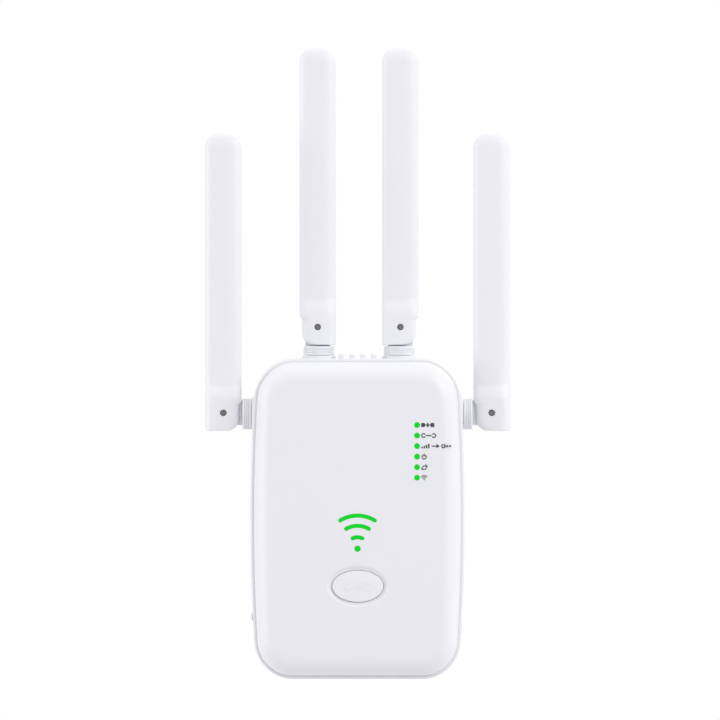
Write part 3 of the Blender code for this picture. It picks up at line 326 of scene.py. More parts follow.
def prism(name, stations, axis="Y"):
    """A solid through flat outlines, each given with its depth along the axis."""
    place = AXES[axis]
    return lofted(name, [[place(x, z, depth) for x, z in points] for points, depth in stations])


def turned(name, profile, start, direction, sides=ROUND_STEPS):
    """A profile of (radius, distance) pairs turned about the line from start."""
    axis = Vector(direction).normalized()
    across = axis.orthogonal().normalized()
    beside = axis.cross(across)
    rings = []
    for radius, distance in profile:
        centre = Vector(start) + axis * distance
        angles = [2 * math.pi * step / sides for step in range(sides)]
        rings.append(
            [centre + (across * math.cos(a) + beside * math.sin(a)) * radius for a in angles]
        )
    return lofted(name, rings)


def rod(name, radius, start, end, sides=ROUND_STEPS):
    span = Vector(end) - Vector(start)
    return turned(name, ((radius, 0.0), (radius, span.length)), start, span, sides)


def brick(name, low, high):
    corners = [(low[0], low[1]), (high[0], low[1]), (high[0], high[1]), (low[0], high[1])]
    return prism(name, ((corners, low[2]), (corners, high[2])), "Z")


def merged(name, meshes):
    """Several separate solids as one mesh."""
    bm = bmesh.new()
    for mesh in meshes:
        bm.from_mesh(mesh)
        bpy.data.meshes.remove(mesh)
    result = bpy.data.meshes.new(name)
    bm.to_mesh(result)
    bm.free()
    return result


def carved(mesh, tool, operation="DIFFERENCE"):
    """The mesh after one exact Boolean with the tool."""
    body = linked("body", mesh)
    cutter = linked("cutter", tool)
    modifier = body.modifiers.new("cut", "BOOLEAN")
    modifier.operation = operation
    modifier.object = cutter
    modifier.solver = "EXACT"
    bpy.context.view_layer.update()
    depsgraph = bpy.context.evaluated_depsgraph_get()
    result = bpy.data.meshes.new_from_object(body.evaluated_get(depsgraph))
    for item in (body, cutter):
        bpy.data.objects.remove(item, do_unlink=True)
    return result


def joined(mesh, tool):
    return carved(mesh, tool, "UNION")


def arc(centre, radius, start, end, steps):
    """Points on a circle between two angles in degrees."""
    angles = [math.radians(start + (end - start) * step / steps) for step in range(steps + 1)]
    return [(centre[0] + radius * math.cos(a), centre[1] + radius * math.sin(a)) for a in angles]


def ellipse(centre, half_width, half_height, steps=72):
    angles = [2 * math.pi * step / steps for step in range(steps)]
    return [
        (centre[0] + half_width * math.cos(a), centre[1] + half_height * math.sin(a))
        for a in angles
    ]


def rounded_rectangle(centre, half_width, half_height, corner, steps=8):
    points = []
    for turn in range(4):
        side_x = 1 if turn in (0, 3) else -1
        side_y = 1 if turn in (0, 1) else -1
        place = (
            centre[0] + side_x * (half_width - corner),
            centre[1] + side_y * (half_height - corner),
        )
        points += arc(place, corner, 90.0 * turn, 90.0 * (turn + 1), steps)
    return points


def growing_rectangle(centre, half_width, half_height, corner, steps=8):
    """A rounded rectangle that can be asked for with any growth."""
    return lambda growth: rounded_rectangle(
        centre, half_width + growth, half_height + growth, corner + growth, steps
    )


def quarter(steps, first=0):
    """Sine and cosine at even steps through a quarter turn."""
    angles = [math.pi / 2 * step / steps for step in range(first, steps + 1)]
    return [(math.sin(angle), math.cos(angle)) for angle in angles]


def eased(part):
    """A smooth step from 0 to 1."""
    return part * part * (3 - 2 * part)


def band(centre, radius, half_stroke, first, last, steps=24):
    """An arc-shaped stroke with round ends, between two angles in degrees."""
    ends = [arc(centre, radius, angle, angle, 1)[0] for angle in (first, last)]
    points = arc(centre, radius + half_stroke, first, last, steps)
    points += arc(ends[1], half_stroke, last, last + 180.0, 8)[1:-1]
    points += arc(centre, radius - half_stroke, last, first, steps)
    points += arc(ends[0], half_stroke, first + 180.0, first + 360.0, 8)[1:-1]
    return points


def opening(name, outline, outside, face, inside, chamfer, axis="Y"):
    """A cutter whose mouth is chamfered where it passes the face."""
    step = math.copysign(chamfer, inside - face)
    stations = (
        (outline(chamfer), outside),
        (outline(chamfer), face),
        (outline(0.0), face + step),
        (outline(0.0), inside),
    )
    return prism(name, stations, axis)


# ---- Materials


def add_node(tree, kind, **settings):
    item = tree.nodes.new(kind)
    for name, value in settings.items():
        if name in item.inputs:
            item.inputs[name].default_value = value
        else:
            setattr(item, name, value)
    return item


def colour_output(mix):
    return [socket for socket in mix.outputs if socket.type == "RGBA"][0]


def fill_colours(mix, first, second):
    sockets = [socket for socket in mix.inputs if socket.type == "RGBA"]
    sockets[0].default_value = (*first, 1.0)
    sockets[1].default_value = (*second, 1.0)


def fill_range(item, start, end, low, high):
    for socket, number in zip(("From Min", "From Max", "To Min", "To Max"), (start, end, low, high)):
        item.inputs[socket].default_value = number


class Finish:
    """A Principled material whose detail comes from noise in the piece's own space."""

    def __init__(self, name, colour, roughness, metallic=0.0, **sockets):
        self.material = bpy.data.materials.new(name)
        self.material.use_nodes = True
        self.tree = self.material.node_tree
        self.shader = self.tree.nodes["Principled BSDF"]
        self.shader.inputs["Metallic"].default_value = metallic
        for socket, value in sockets.items():
            self.shader.inputs[socket.replace("_", " ")].default_value = value
        self.colour = colour
        self.roughness = roughness
        self.coordinates = add_node(self.tree, "ShaderNodeTexCoord").outputs["Object"]
        self.normal = None

    def link(self, start, end):
        self.tree.links.new(start, end)

    def noise(self, size, detail=2.0, stretch=(1.0, 1.0, 1.0)):
        """Noise whose lumps are about size millimetres across, stretched by axis."""
        mapping = add_node(self.tree, "ShaderNodeMapping")
        mapping.inputs["Scale"].default_value = [1.0 / (size * MM * part) for part in stretch]
        texture = add_node(self.tree, "ShaderNodeTexNoise", Scale=1.0, Detail=detail)
        self.link(self.coordinates, mapping.inputs["Vector"])
        self.link(mapping.outputs["Vector"], texture.inputs["Vector"])
        return texture.outputs["Fac"]

    def ranged(self, value, start, end, low, high):
        item = add_node(self.tree, "ShaderNodeMapRange")
        fill_range(item, start, end, low, high)
        self.link(value, item.inputs["Value"])
        return item.outputs["Result"]

    def tinted(self, factor, second):
        """Colour that goes from the finish's own to the second with the factor."""
        mix = add_node(self.tree, "ShaderNodeMix", data_type="RGBA")
        fill_colours(mix, self.colour, second)
        self.link(factor, mix.inputs["Factor"])
        self.link(colour_output(mix), self.shader.inputs["Base Color"])

    def rough(self, value, spread):
        result = self.ranged(value, 0.3, 0.7, self.roughness - spread, self.roughness + spread)
        self.link(result, self.shader.inputs["Roughness"])

    def bump(self, height, depth, strength=1.0):
        """Adds relief of about depth millimetres to what is already there."""
        item = add_node(self.tree, "ShaderNodeBump", Strength=strength, Distance=depth * MM)
        self.link(height, item.inputs["Height"])
        if self.normal:
            self.link(self.normal, item.inputs["Normal"])
        self.normal = item.outputs["Normal"]
        self.link(self.normal, self.shader.inputs["Normal"])


def shade(colour, factor):
    return tuple(min(1.0, part * factor) for part in colour)


def moulded(name, colour, roughness, grain=0.25, depth=0.004, drift=0.985, **sockets):
    """Injection-moulded plastic: fine grain, faint flow marks and slight handling polish."""
    finish = Finish(name, colour, roughness, **sockets)
    finish.tinted(finish.noise(14.0, 3.0), shade(colour, drift))
    finish.rough(finish.noise(6.0, 4.0), 0.05)
    finish.bump(finish.noise(9.0, 2.0), 0.012)
    finish.bump(finish.noise(grain, 3.0), depth)
    return finish.material


def polished_metal(name, colour, roughness, dull, stretch=(1.0, 1.0, 1.0)):
    """Plated or drawn metal with fine lines along its longest stretch."""
    finish = Finish(name, colour, roughness, 1.0)
    finish.tinted(finish.noise(2.5, 5.0), dull)
    finish.rough(finish.noise(0.6, 4.0, stretch), 0.09)
    finish.bump(finish.noise(0.12, 2.0, stretch), 0.003)
    return finish.material


def circuit_board(name, colour):
    """Solder mask over copper tracks, which stand slightly proud."""
    finish = Finish(name, colour, 0.42, Coat_Weight=0.3)
    tracks = add_node(finish.tree, "ShaderNodeTexBrick", Scale=1.0 / (2.4 * MM))
    tracks.inputs["Mortar Size"].default_value = 0.06
    tracks.inputs["Brick Width"].default_value = 1.3
    finish.link(finish.coordinates, tracks.inputs["Vector"])
    finish.tinted(tracks.outputs["Fac"], shade(colour, 1.8))
    finish.rough(finish.noise(1.5, 3.0), 0.08)
    finish.bump(tracks.outputs["Fac"], 0.03)
    finish.bump(finish.noise(0.2), 0.004)
    return finish.material


def lit_plastic(name, colour, glow, rim_glow):
    """Translucent plastic lit from behind, brightest where it faces forward."""
    finish = Finish(name, colour, 0.32, Emission_Strength=1.0, Specular_IOR_Level=0.15)
    finish.tinted(finish.noise(0.5, 2.0), shade(colour, 0.8))
    finish.rough(finish.noise(0.8, 3.0), 0.06)
    finish.bump(finish.noise(0.3), 0.004)
    geometry = add_node(finish.tree, "ShaderNodeNewGeometry")
    parts = add_node(finish.tree, "ShaderNodeSeparateXYZ")
    finish.link(geometry.outputs["Normal"], parts.inputs["Vector"])
    facing = finish.ranged(parts.outputs["Y"], -0.6, -1.0, 0.0, 1.0)
    mix = add_node(finish.tree, "ShaderNodeMix", data_type="RGBA")
    fill_colours(mix, rim_glow, glow)
    finish.link(facing, mix.inputs["Factor"])
    finish.link(colour_output(mix), finish.shader.inputs["Emission Color"])
    return finish.material


WHITE = (0.80, 0.80, 0.845)
COVER_WHITE = moulded("cover_white", WHITE, 0.34, Specular_IOR_Level=0.45)
SHELL_WHITE = moulded("shell_white", (0.79, 0.79, 0.83), 0.46, grain=0.35, depth=0.010)
ANTENNA_WHITE = moulded("antenna_white", WHITE, 0.34, grain=0.30, depth=0.006)
BUTTON_WHITE = moulded("button_white", (0.81, 0.81, 0.85), 0.30, depth=0.003)
SLIDER_GREY = moulded("slider_grey", (0.42, 0.42, 0.45), 0.50, drift=0.9)
PRINT_GREY = moulded("print_grey", (0.075, 0.075, 0.085), 0.55, drift=0.85)
PART_BLACK = moulded("part_black", (0.020, 0.020, 0.024), 0.45, grain=0.2, depth=0.012, drift=1.5)
LEAD_GREY = moulded("lead_grey", (0.25, 0.25, 0.27), 0.55, grain=0.5, depth=0.02, drift=0.8)
BLADE_METAL = polished_metal("blade_metal", (0.80, 0.77, 0.70), 0.26, (0.66, 0.63, 0.56), (1, 9, 1))
PIN_STEEL = polished_metal("pin_steel", (0.25, 0.25, 0.26), 0.34, (0.18, 0.18, 0.19))
TINNED_STEEL = polished_metal("tinned_steel", (0.72, 0.73, 0.74), 0.30, (0.60, 0.61, 0.62), (6, 1, 1))
CONTACT_GOLD = polished_metal("contact_gold", (0.86, 0.62, 0.24), 0.22, (0.72, 0.50, 0.18), (1, 1, 7))
COPPER = polished_metal("copper", (0.75, 0.38, 0.22), 0.30, (0.45, 0.20, 0.12), (1, 1, 9))
BOARD_GREEN = circuit_board("board_green", (0.03, 0.20, 0.09))
GREEN = (0.001, 0.10, 0.005)
SIGNAL_GREEN = lit_plastic("signal_green", GREEN, (0.0, 0.575, 0.018), (0.0, 0.40, 0.010))
STATUS_GREEN = lit_plastic("status_green", GREEN, (0.0, 0.58, 0.016), (0.0, 0.36, 0.008))


# ---- Pieces

SMOOTH_ANGLE = math.radians(24.0)


def finish_surface(mesh, material):
    mesh.materials.clear()
    mesh.materials.append(material)
    mesh.shade_smooth()
    mesh.set_sharp_from_angle(angle=SMOOTH_ANGLE)


def add_piece(name, mesh, material, body, slot, *nodes):
    """Shows a mesh on a body, in place of the CAD nodes that it stands for."""
    finish_surface(mesh, material)
    piece = linked(name, mesh)
    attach(piece, body)
    if nodes:
        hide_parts(*nodes)
    return piece


def half_width_at(height):
    return HALF_WIDTH - height * height / (2 * BULGE_RADIUS)


def housing_outline(inset):
    """The housing seen from the front, drawn in by inset, anticlockwise."""
    half_width, half_height = HALF_WIDTH - inset, HALF_HEIGHT - inset
    signs = ((1, 1), (-1, 1), (-1, -1), (1, -1))
    radii = (TOP_CORNER, TOP_CORNER, BOTTOM_CORNER, BOTTOM_CORNER)
    rounds = []
    for turn, ((side_x, side_z), radius) in enumerate(zip(signs, radii)):
        radius -= inset
        centre = (side_x * (half_width - radius), side_z * (half_height - radius))
        rounds.append(arc(centre, radius, 90.0 * turn, 90.0 * (turn + 1), CORNER_STEPS))
    points = []
    for turn, (here, after) in enumerate(zip(rounds, rounds[1:] + rounds[:1])):
        points += here
        if turn % 2:
            side, start = here[-1]
            rise = (after[0][1] - start) / SIDE_STEPS
            points += [(side, start + rise * step) for step in range(1, SIDE_STEPS)]
    return [(x * half_width_at(z) / HALF_WIDTH, z + CENTRE_Z) for x, z in points]


def tray(name, closed_y, rim_y, inset, fillet, rim_edge=RIM_EDGE):
    """Half of the housing: flat face, fillet, wall, rounded rim and the same inside."""
    inward = math.copysign(1.0, rim_y - closed_y)
    outer_flat = inset + fillet
    inner_fillet = fillet - WALL
    stations = [(outer_flat + FLAT_MARGIN, closed_y)]
    for sine, cosine in quarter(FILLET_STEPS):
        stations.append((outer_flat - fillet * sine, closed_y + inward * fillet * (1 - cosine)))
    for sine, cosine in quarter(RIM_STEPS):
        outward, short = rim_edge * (1 - cosine), rim_edge * (1 - sine)
        stations.append((inset + outward, rim_y - inward * short))
    stations += [
        (inset + WALL - RIM_EDGE, rim_y),
        (inset + WALL, rim_y - inward * RIM_EDGE),
    ]
    for sine, cosine in reversed(quarter(FILLET_STEPS)[::2]):
        depth = WALL + inner_fillet * (1 - cosine)
        stations.append((outer_flat - inner_fillet * sine, closed_y + inward * depth))
    stations.append((outer_flat + FLAT_MARGIN, closed_y + inward * WALL))
    return prism(name, [(housing_outline(drawn_in), depth) for drawn_in, depth in stations])


# Front cover with its lights' holes, dish and inner posts.


def signal_outlines(growth):
    """The dot and the arcs of the signal sign, grown outwards."""
    outlines = [ellipse(SIGNAL_CENTRE, SIGNAL_DOT_RADIUS + growth, SIGNAL_DOT_RADIUS + growth, 32)]
    for radius, half_angle in SIGNAL_ARCS:
        half_stroke = SIGNAL_STROKE / 2 + growth
        outlines.append(band(SIGNAL_CENTRE, radius, half_stroke, 90.0 - half_angle, 90.0 + half_angle))
    return outlines


def button_outline(growth):
    return ellipse(BUTTON_CENTRE, BUTTON_HALF_WIDTH + growth, BUTTON_HALF_HEIGHT + growth)


def dish_cutter():
    """A concave dish that is steepest at its rim."""
    stations = [(button_outline(DISH_GROWTH), FRONT_Y - OVERSHOOT)]
    steps = 10
    for step in range(steps + 1):
        part = step / steps
        growth = DISH_GROWTH * (1 - part)
        stations.append((button_outline(growth), FRONT_Y + DISH_DEPTH * math.sin(part * math.pi / 2)))
    return prism("dish", stations)


def cover_posts():
    """Posts that the screws bite into."""
    posts = []
    for screw in SCREWS:
        centre = middle(screw)
        start = (centre.x, COVER_INNER_Y - ROOT, centre.z)
        posts.append(rod("post", COVER_POST_RADIUS, start, (centre.x, POST_JOINT_Y - GAP, centre.z)))
    return posts


def board_pegs():
    """Stepped pegs that carry the main board and pass through it."""
    profile = (
        (PEG_RADIUS, COVER_INNER_Y - ROOT),
        (PEG_RADIUS, BOARD_LOW.y - GAP),
        (PEG_TIP_RADIUS, BOARD_LOW.y - GAP),
        (PEG_TIP_RADIUS, BOARD_HIGH.y + PEG_RISE - PEG_TIP_EDGE),
        (PEG_TIP_RADIUS - PEG_TIP_EDGE, BOARD_HIGH.y + PEG_RISE),
    )
    places = [(side_x * PEG_X, side_z * PEG_Z) for side_x in (-1, 1) for side_z in (-1, 1)]
    return [turned("peg", profile, (x, 0.0, CENTRE_Z + z), (0, 1, 0), 28) for x, z in places]


def cover_holes():
    """Cutters for the screws and for the lights."""
    front, back = FRONT_Y - OVERSHOOT, COVER_INNER_Y + OVERSHOOT
    holes = []
    for screw in SCREWS:
        centre = middle(screw)
        start = (centre.x, box(screw)[0].y - GAP, centre.z)
        holes.append(rod("pilot", PILOT_RADIUS, start, (centre.x, POST_JOINT_Y, centre.z)))
    for points in signal_outlines(LIGHT_SEAM):
        holes.append(prism("hole", ((points, front), (points, back))))
    for place in STATUS_PLACES:
        start = (place.x, front, place.z)
        holes.append(rod("hole", STATUS_RADIUS + LIGHT_SEAM, start, (place.x, back, place.z)))
    return holes


def build_front_cover():
    cover = tray("front_cover", FRONT_Y, COVER_RIM_Y, COVER_INSET, COVER_FILLET)
    cover = joined(cover, merged("posts", cover_posts() + board_pegs()))
    cover = carved(cover, merged("holes", cover_holes()))
    cover = carved(cover, dish_cutter())
    window = button_outline(BUTTON_GAP)
    stations = ((window, FRONT_Y - OVERSHOOT), (window, COVER_INNER_Y + OVERSHOOT))
    cover = carved(cover, prism("window", stations))
    add_piece("front_cover_moulding", cover, COVER_WHITE, "housing", "cover_white", "front_cover")


def build_signal_light():
    low, high = SIGNAL_PLATE_LOW, SIGNAL_PLATE_HIGH
    guide = brick("signal_plate", (low.x, LIGHT_PLATE_Y, low.z), (high.x, high.y, high.z))
    front = FRONT_Y - SIGNAL_PROUD
    for number in range(len(SIGNAL_ARCS) + 1):
        stations = []
        for sine, cosine in quarter(4):
            outline = signal_outlines(-SIGNAL_EDGE * (1 - sine))[number]
            stations.append((outline, front + SIGNAL_EDGE * (1 - cosine)))
        stations.append((signal_outlines(0.0)[number], LIGHT_PLATE_Y + GAP))
        guide = joined(guide, prism("signal_shape", stations))
    add_piece("signal_light", guide, SIGNAL_GREEN, "housing", "light_green", "signal_light_guide")


def build_status_lights():
    low, high = box("status_light_guide")
    plate_high = (high.x, LIGHT_PLATE_Y + STATUS_PLATE, high.z)
    guide = brick("status_plate", (low.x, LIGHT_PLATE_Y, low.z), plate_high)
    profile = [
        (STATUS_RADIUS * sine, FRONT_Y - STATUS_DOME * cosine) for sine, cosine in quarter(8, 1)
    ]
    profile.append((STATUS_RADIUS, high.y))
    posts = [turned("post", profile, (place.x, 0.0, place.z), (0, 1, 0), 32) for place in STATUS_PLACES]
    guide = joined(guide, merged("status_posts", posts))
    add_piece("status_lights", guide, STATUS_GREEN, "housing", "light_green", "status_light_guide")


# Signs printed beside the status lights.


def stroke(start, end, half_stroke=0.2):
    """A straight bar with square ends, from start to end."""
    start, end = Vector(start), Vector(end)
    side = (end - start).normalized().orthogonal() * half_stroke
    return [tuple(start + side), tuple(start - side), tuple(end - side), tuple(end + side)]


def dot(x, z, radius):
    return ellipse((x, z), radius, radius, 20)


def network_sign():
    """Two boxes on a cable."""
    shapes = [stroke((0.7, 0.0), (3.7, 0.0), 0.18)]
    shapes += [rounded_rectangle((x, 0.0), 0.62, 0.7, 0.15, 3) for x in (0.62, 3.78)]
    shapes += [stroke((2.2, -0.75), (2.2, 0.75), 0.25)]
    return shapes


def pairing_sign():
    """Two open rings joined by a bar."""
    shapes = [band((0.8, 0.0), 0.6, 0.2, 50.0, 310.0), band((4.2, 0.0), 0.6, 0.2, -130.0, 130.0)]
    shapes += [stroke((1.5, 0.0), (3.5, 0.0))]
    return shapes


def strength_sign():
    """Rising bars, an arrow, a ring and two dots."""
    shapes = [stroke((0.3 + 0.75 * n, -0.75), (0.3 + 0.75 * n, -0.2 + 0.32 * n), 0.26) for n in range(4)]
    shapes += [stroke((3.5, 0.0), (5.2, 0.0)), [(5.1, 0.75), (5.1, -0.75), (6.2, 0.0)]]
    shapes += [band((7.4, 0.0), 0.55, 0.19, 120.0, 420.0)]
    shapes += [dot(x, 0.0, 0.36) for x in (8.7, 9.6)]
    return shapes


def power_sign():
    """An open ring with a bar through its gap."""
    return [band((1.0, -0.1), 0.7, 0.19, 130.0, 410.0), stroke((1.0, 0.0), (1.0, 1.0), 0.19)]


def relay_sign():
    """A leaning frame with a mast."""
    shapes = [stroke((0.1, -0.72), (1.4, -0.72), 0.17), stroke((0.8, 0.38), (2.1, 0.38), 0.17)]
    shapes += [stroke((0.1, -0.8), (0.8, 0.46), 0.17), stroke((1.4, -0.8), (2.1, 0.46), 0.17)]
    shapes += [stroke((1.45, 0.4), (1.65, 1.0), 0.16)]
    return shapes


def wireless_sign():
    """A dot under three arcs."""
    shapes = [dot(1.0, -0.66, 0.22)]
    shapes += [band((1.0, -0.7), radius, 0.12, 48.0, 132.0, 10) for radius in (0.62, 1.04, 1.46)]
    return shapes


def build_signs():
    signs = (network_sign, pairing_sign, strength_sign, power_sign, relay_sign, wireless_sign)
    for number, (sign, place) in enumerate(zip(signs, STATUS_PLACES), 1):
        plates = []
        for shape in sign():
            points = [(place.x + PRINT_OFFSET + x, place.z + z) for x, z in shape]
            stations = ((points, FRONT_Y - PRINT_HEIGHT), (points, FRONT_Y + PRINT_ROOT))
            plates.append(prism("sign", stations))
        add_piece(f"status_sign_{number}", merged("sign", plates), PRINT_GREY, "housing", "slider_grey")


def button_signs():
    """A generic pairing sign: two open rings around three rising bars."""
    shapes = [band((-3.3, 0.0), 1.15, 0.2, 40.0, 320.0), band((3.3, 0.0), 1.15, 0.2, -140.0, 140.0)]
    shapes += [stroke((x, -1.1), (x, -0.1 + 0.55 * n), 0.27) for n, x in enumerate((-1.0, 0.0, 1.0))]
    return shapes


def build_button():
    front = BUTTON_LOW.y + BUTTON_RELIEF
    stations = []
    rings = 8
    for ring in range(1, rings + 1):
        part = ring / rings
        points = ellipse(
            BUTTON_CENTRE,
            (BUTTON_HALF_WIDTH - BUTTON_EDGE) * part,
            (BUTTON_HALF_HEIGHT - BUTTON_EDGE) * part,
        )
        stations.append((points, front + BUTTON_CROWN * part * part))
    for sine, cosine in quarter(5, 1):
        drop = BUTTON_CROWN + BUTTON_EDGE * (1 - cosine)
        stations.append((button_outline(-BUTTON_EDGE * (1 - sine)), front + drop))
    flange_front = COVER_INNER_Y + GAP
    stations += [
        (button_outline(0.0), flange_front),
        (button_outline(BUTTON_FLANGE), flange_front),
        (button_outline(BUTTON_FLANGE), flange_front + BUTTON_FLANGE_THICKNESS),
    ]
    button = prism("button", stations)
    start = (BUTTON_CENTRE[0], flange_front + ROOT, BUTTON_CENTRE[1])
    end = (start[0], box("wps_plunger")[0].y - GAP, start[2])
    button = joined(button, rod("stem", BUTTON_STEM_RADIUS, start, end))
    add_piece("pairing_button", button, BUTTON_WHITE, "button", "button_white", "wps_button")
    raised = []
    for shape in button_signs():
        points = [(BUTTON_CENTRE[0] + x, BUTTON_CENTRE[1] + z) for x, z in shape]
        raised.append(prism("raised", ((points, front - BUTTON_RELIEF), (points, front + BUTTON_CROWN))))
    add_piece("pairing_button_relief", merged("relief", raised), BUTTON_WHITE, "button", "button_white")


# Rear shell with its collars, wells, vents and windows.


def socket_face(place):
    return Vector(JOINTS[f"{place}_swivel"]["pos_m"]) / MM


def screw_posts_and_wells():
    posts, wells = [], []
    for screw in SCREWS:
        centre = middle(screw)
        shoulder = box(screw)[1].y - HEAD_HEIGHT
        start = (centre.x, POST_JOINT_Y, centre.z)
        posts.append(rod("post", SHELL_POST_RADIUS, start, (centre.x, BACK_INNER_Y + ROOT, centre.z)))
        profile = (
            (PILOT_RADIUS, POST_JOINT_Y - OVERSHOOT),
            (PILOT_RADIUS, shoulder),
            (WELL_RADIUS, shoulder),
            (WELL_RADIUS, BACK_Y - WELL_MOUTH_RADIUS + WELL_RADIUS),
            (WELL_MOUTH_RADIUS, BACK_Y),
            (WELL_MOUTH_RADIUS, BACK_Y + OVERSHOOT),
        )
        wells.append(turned("well", profile, (centre.x, 0.0, centre.z), (0, 1, 0)))
    return posts, wells


def collars_and_neck_holes():
    collar = (
        (SOCKET_RADIUS, -COLLAR_DEPTH),
        (SOCKET_RADIUS, -SOCKET_EDGE),
        (SOCKET_RADIUS - SOCKET_EDGE, 0.0),
    )
    mouth = 0.2
    hole = (
        (NECK_HOLE, -COLLAR_DEPTH - OVERSHOOT),
        (NECK_HOLE, -mouth),
        (NECK_HOLE + mouth, 0.0),
        (NECK_HOLE + mouth, OVERSHOOT),
    )
    collars, holes = [], []
    for place, outward in SOCKETS.items():
        collars.append(turned("collar", collar, socket_face(place), outward, 56))
        holes.append(turned("neck_hole", hole, socket_face(place), outward, 48))
    return collars, holes


def in_row(count, pitch):
    """Places of a row about the object's middle plane."""
    return [(number - (count - 1) / 2) * pitch for number in range(count)]


def top_ribs_and_slots():
    top = CENTRE_Z + HALF_HEIGHT
    ribs, slots = [], []
    for x in in_row(RIB_COUNT, RIB_PITCH):
        half_sides = RIB_HALF_WIDTH, RIB_HALF_LENGTH
        outline = rounded_rectangle((x, RIB_Y), *half_sides, RIB_HALF_WIDTH / 2, 5)
        half_sides = RIB_HALF_WIDTH - RIB_EDGE, RIB_HALF_LENGTH - RIB_EDGE
        crest = rounded_rectangle((x, RIB_Y), *half_sides, 0.3, 5)
        stations = ((outline, top - 1.0), (outline, SHELL_HIGH.z - RIB_EDGE), (crest, SHELL_HIGH.z))
        ribs.append(prism("rib", stations, "Z"))
    for x in in_row(RIB_COUNT - 1, RIB_PITCH):
        half_sides = TOP_SLOT_HALF_WIDTH, TOP_SLOT_HALF_LENGTH
        outline = rounded_rectangle((x, RIB_Y), *half_sides, TOP_SLOT_HALF_WIDTH - ROUND_END, 6)
        slots.append(prism("top_vent", ((outline, top - 4.0), (outline, top + 2.0)), "Z"))
    return ribs, slots


def back_opening(name, outline):
    """A cutter through the back wall with a chamfered mouth."""
    return opening(name, outline, BACK_Y + OVERSHOOT, BACK_Y, BACK_INNER_Y - OVERSHOOT, BACK_CHAMFER)


def back_vents():
    vents = []
    for x in in_row(VENT_COUNT, VENT_PITCH):
        for low, high in VENT_ROWS:
            centre = (x, CENTRE_Z + (low + high) / 2)
            half_sides = VENT_HALF_WIDTH, (high - low) / 2
            outline = growing_rectangle(centre, *half_sides, VENT_HALF_WIDTH - ROUND_END)
            vents.append(back_opening("vent", outline))
    return vents


def jack_windows():
    bottom = CENTRE_Z - HALF_HEIGHT
    windows = []
    for jack in JACKS:
        low, high = box(jack)
        centre = ((low.x + high.x) / 2, (low.y + high.y) / 2)
        half_sides = (high.x - low.x) / 2 + GAP, (high.y - low.y) / 2 + GAP
        outline = growing_rectangle(centre, *half_sides, GAP, 4)
        inside = low.z + JACK_WINDOW_DEPTH
        windows.append(opening("jack_window", outline, bottom - 2.0, bottom, inside, 0.3, "Z"))
    return windows


def plug_window():
    half_sides = PLUG_HALF_WIDTH + GAP, PLUG_HALF_HEIGHT + GAP
    return back_opening("plug_window", growing_rectangle(PLUG_CENTRE, *half_sides, PLUG_CORNER + GAP))


def slider_slot():
    centre = middle("mode_slider")
    outline = rounded_rectangle((centre.y, centre.z), SLOT_HALF_DEPTH, SLOT_HALF_HEIGHT, SLOT_CORNER, 5)
    ends = -HALF_WIDTH - OVERSHOOT, -HALF_WIDTH + WALL + 2 * OVERSHOOT
    return prism("slider_slot", [(outline, end) for end in ends], "X")


def build_rear_shell():
    shell = tray("rear_shell", BACK_Y, SEAM_Y, 0.0, BACK_FILLET, SHELL_RIM_EDGE)
    posts, wells = screw_posts_and_wells()
    collars, neck_holes = collars_and_neck_holes()
    ribs, slots = top_ribs_and_slots()
    for solid in posts + collars + ribs:
        shell = joined(shell, solid)
    windows = [*jack_windows(), plug_window(), slider_slot()]
    for hole in wells + neck_holes + slots + back_vents() + windows:
        shell = carved(shell, hole)
    add_piece("rear_shell_moulding", shell, SHELL_WHITE, "housing", "shell_white", "rear_shell")


def build_screws():
    """Screws with a thread of raised rings, a round head and a cross recess."""
    for number, screw in enumerate(SCREWS, 1):
        low, high = box(screw)
        centre = middle(screw)
        profile = [(0.4, low.y), (0.9, low.y + 1.2)]
        pitch = 0.9
        place = low.y + 1.4
        while place < high.y - 2.6:
            profile += [(1.0, place), (1.28, place + pitch * 0.4), (1.0, place + pitch * 0.8)]
            place += pitch
        profile += [(1.2, high.y - 2.0), (1.2, high.y - 1.7), (2.35, high.y - 1.7), (2.5, high.y - 1.5)]
        profile += [(2.5, high.y - 0.9), (2.3, high.y - 0.45), (1.8, high.y - 0.15), (1.0, high.y)]
        mesh = turned("screw", profile, (centre.x, 0.0, centre.z), (0, 1, 0))
        for half_x, half_z in ((1.5, 0.32), (0.32, 1.5)):
            small = rounded_rectangle((centre.x, centre.z), half_x * 0.5, half_z * 0.5, 0.1, 2)
            large = rounded_rectangle((centre.x, centre.z), half_x, half_z, 0.1, 2)
            mesh = carved(mesh, prism("recess", ((small, high.y - 1.0), (large, high.y + 0.2))))
        add_piece(f"screw_{number}", mesh, PIN_STEEL, "housing", "pin_steel", screw)


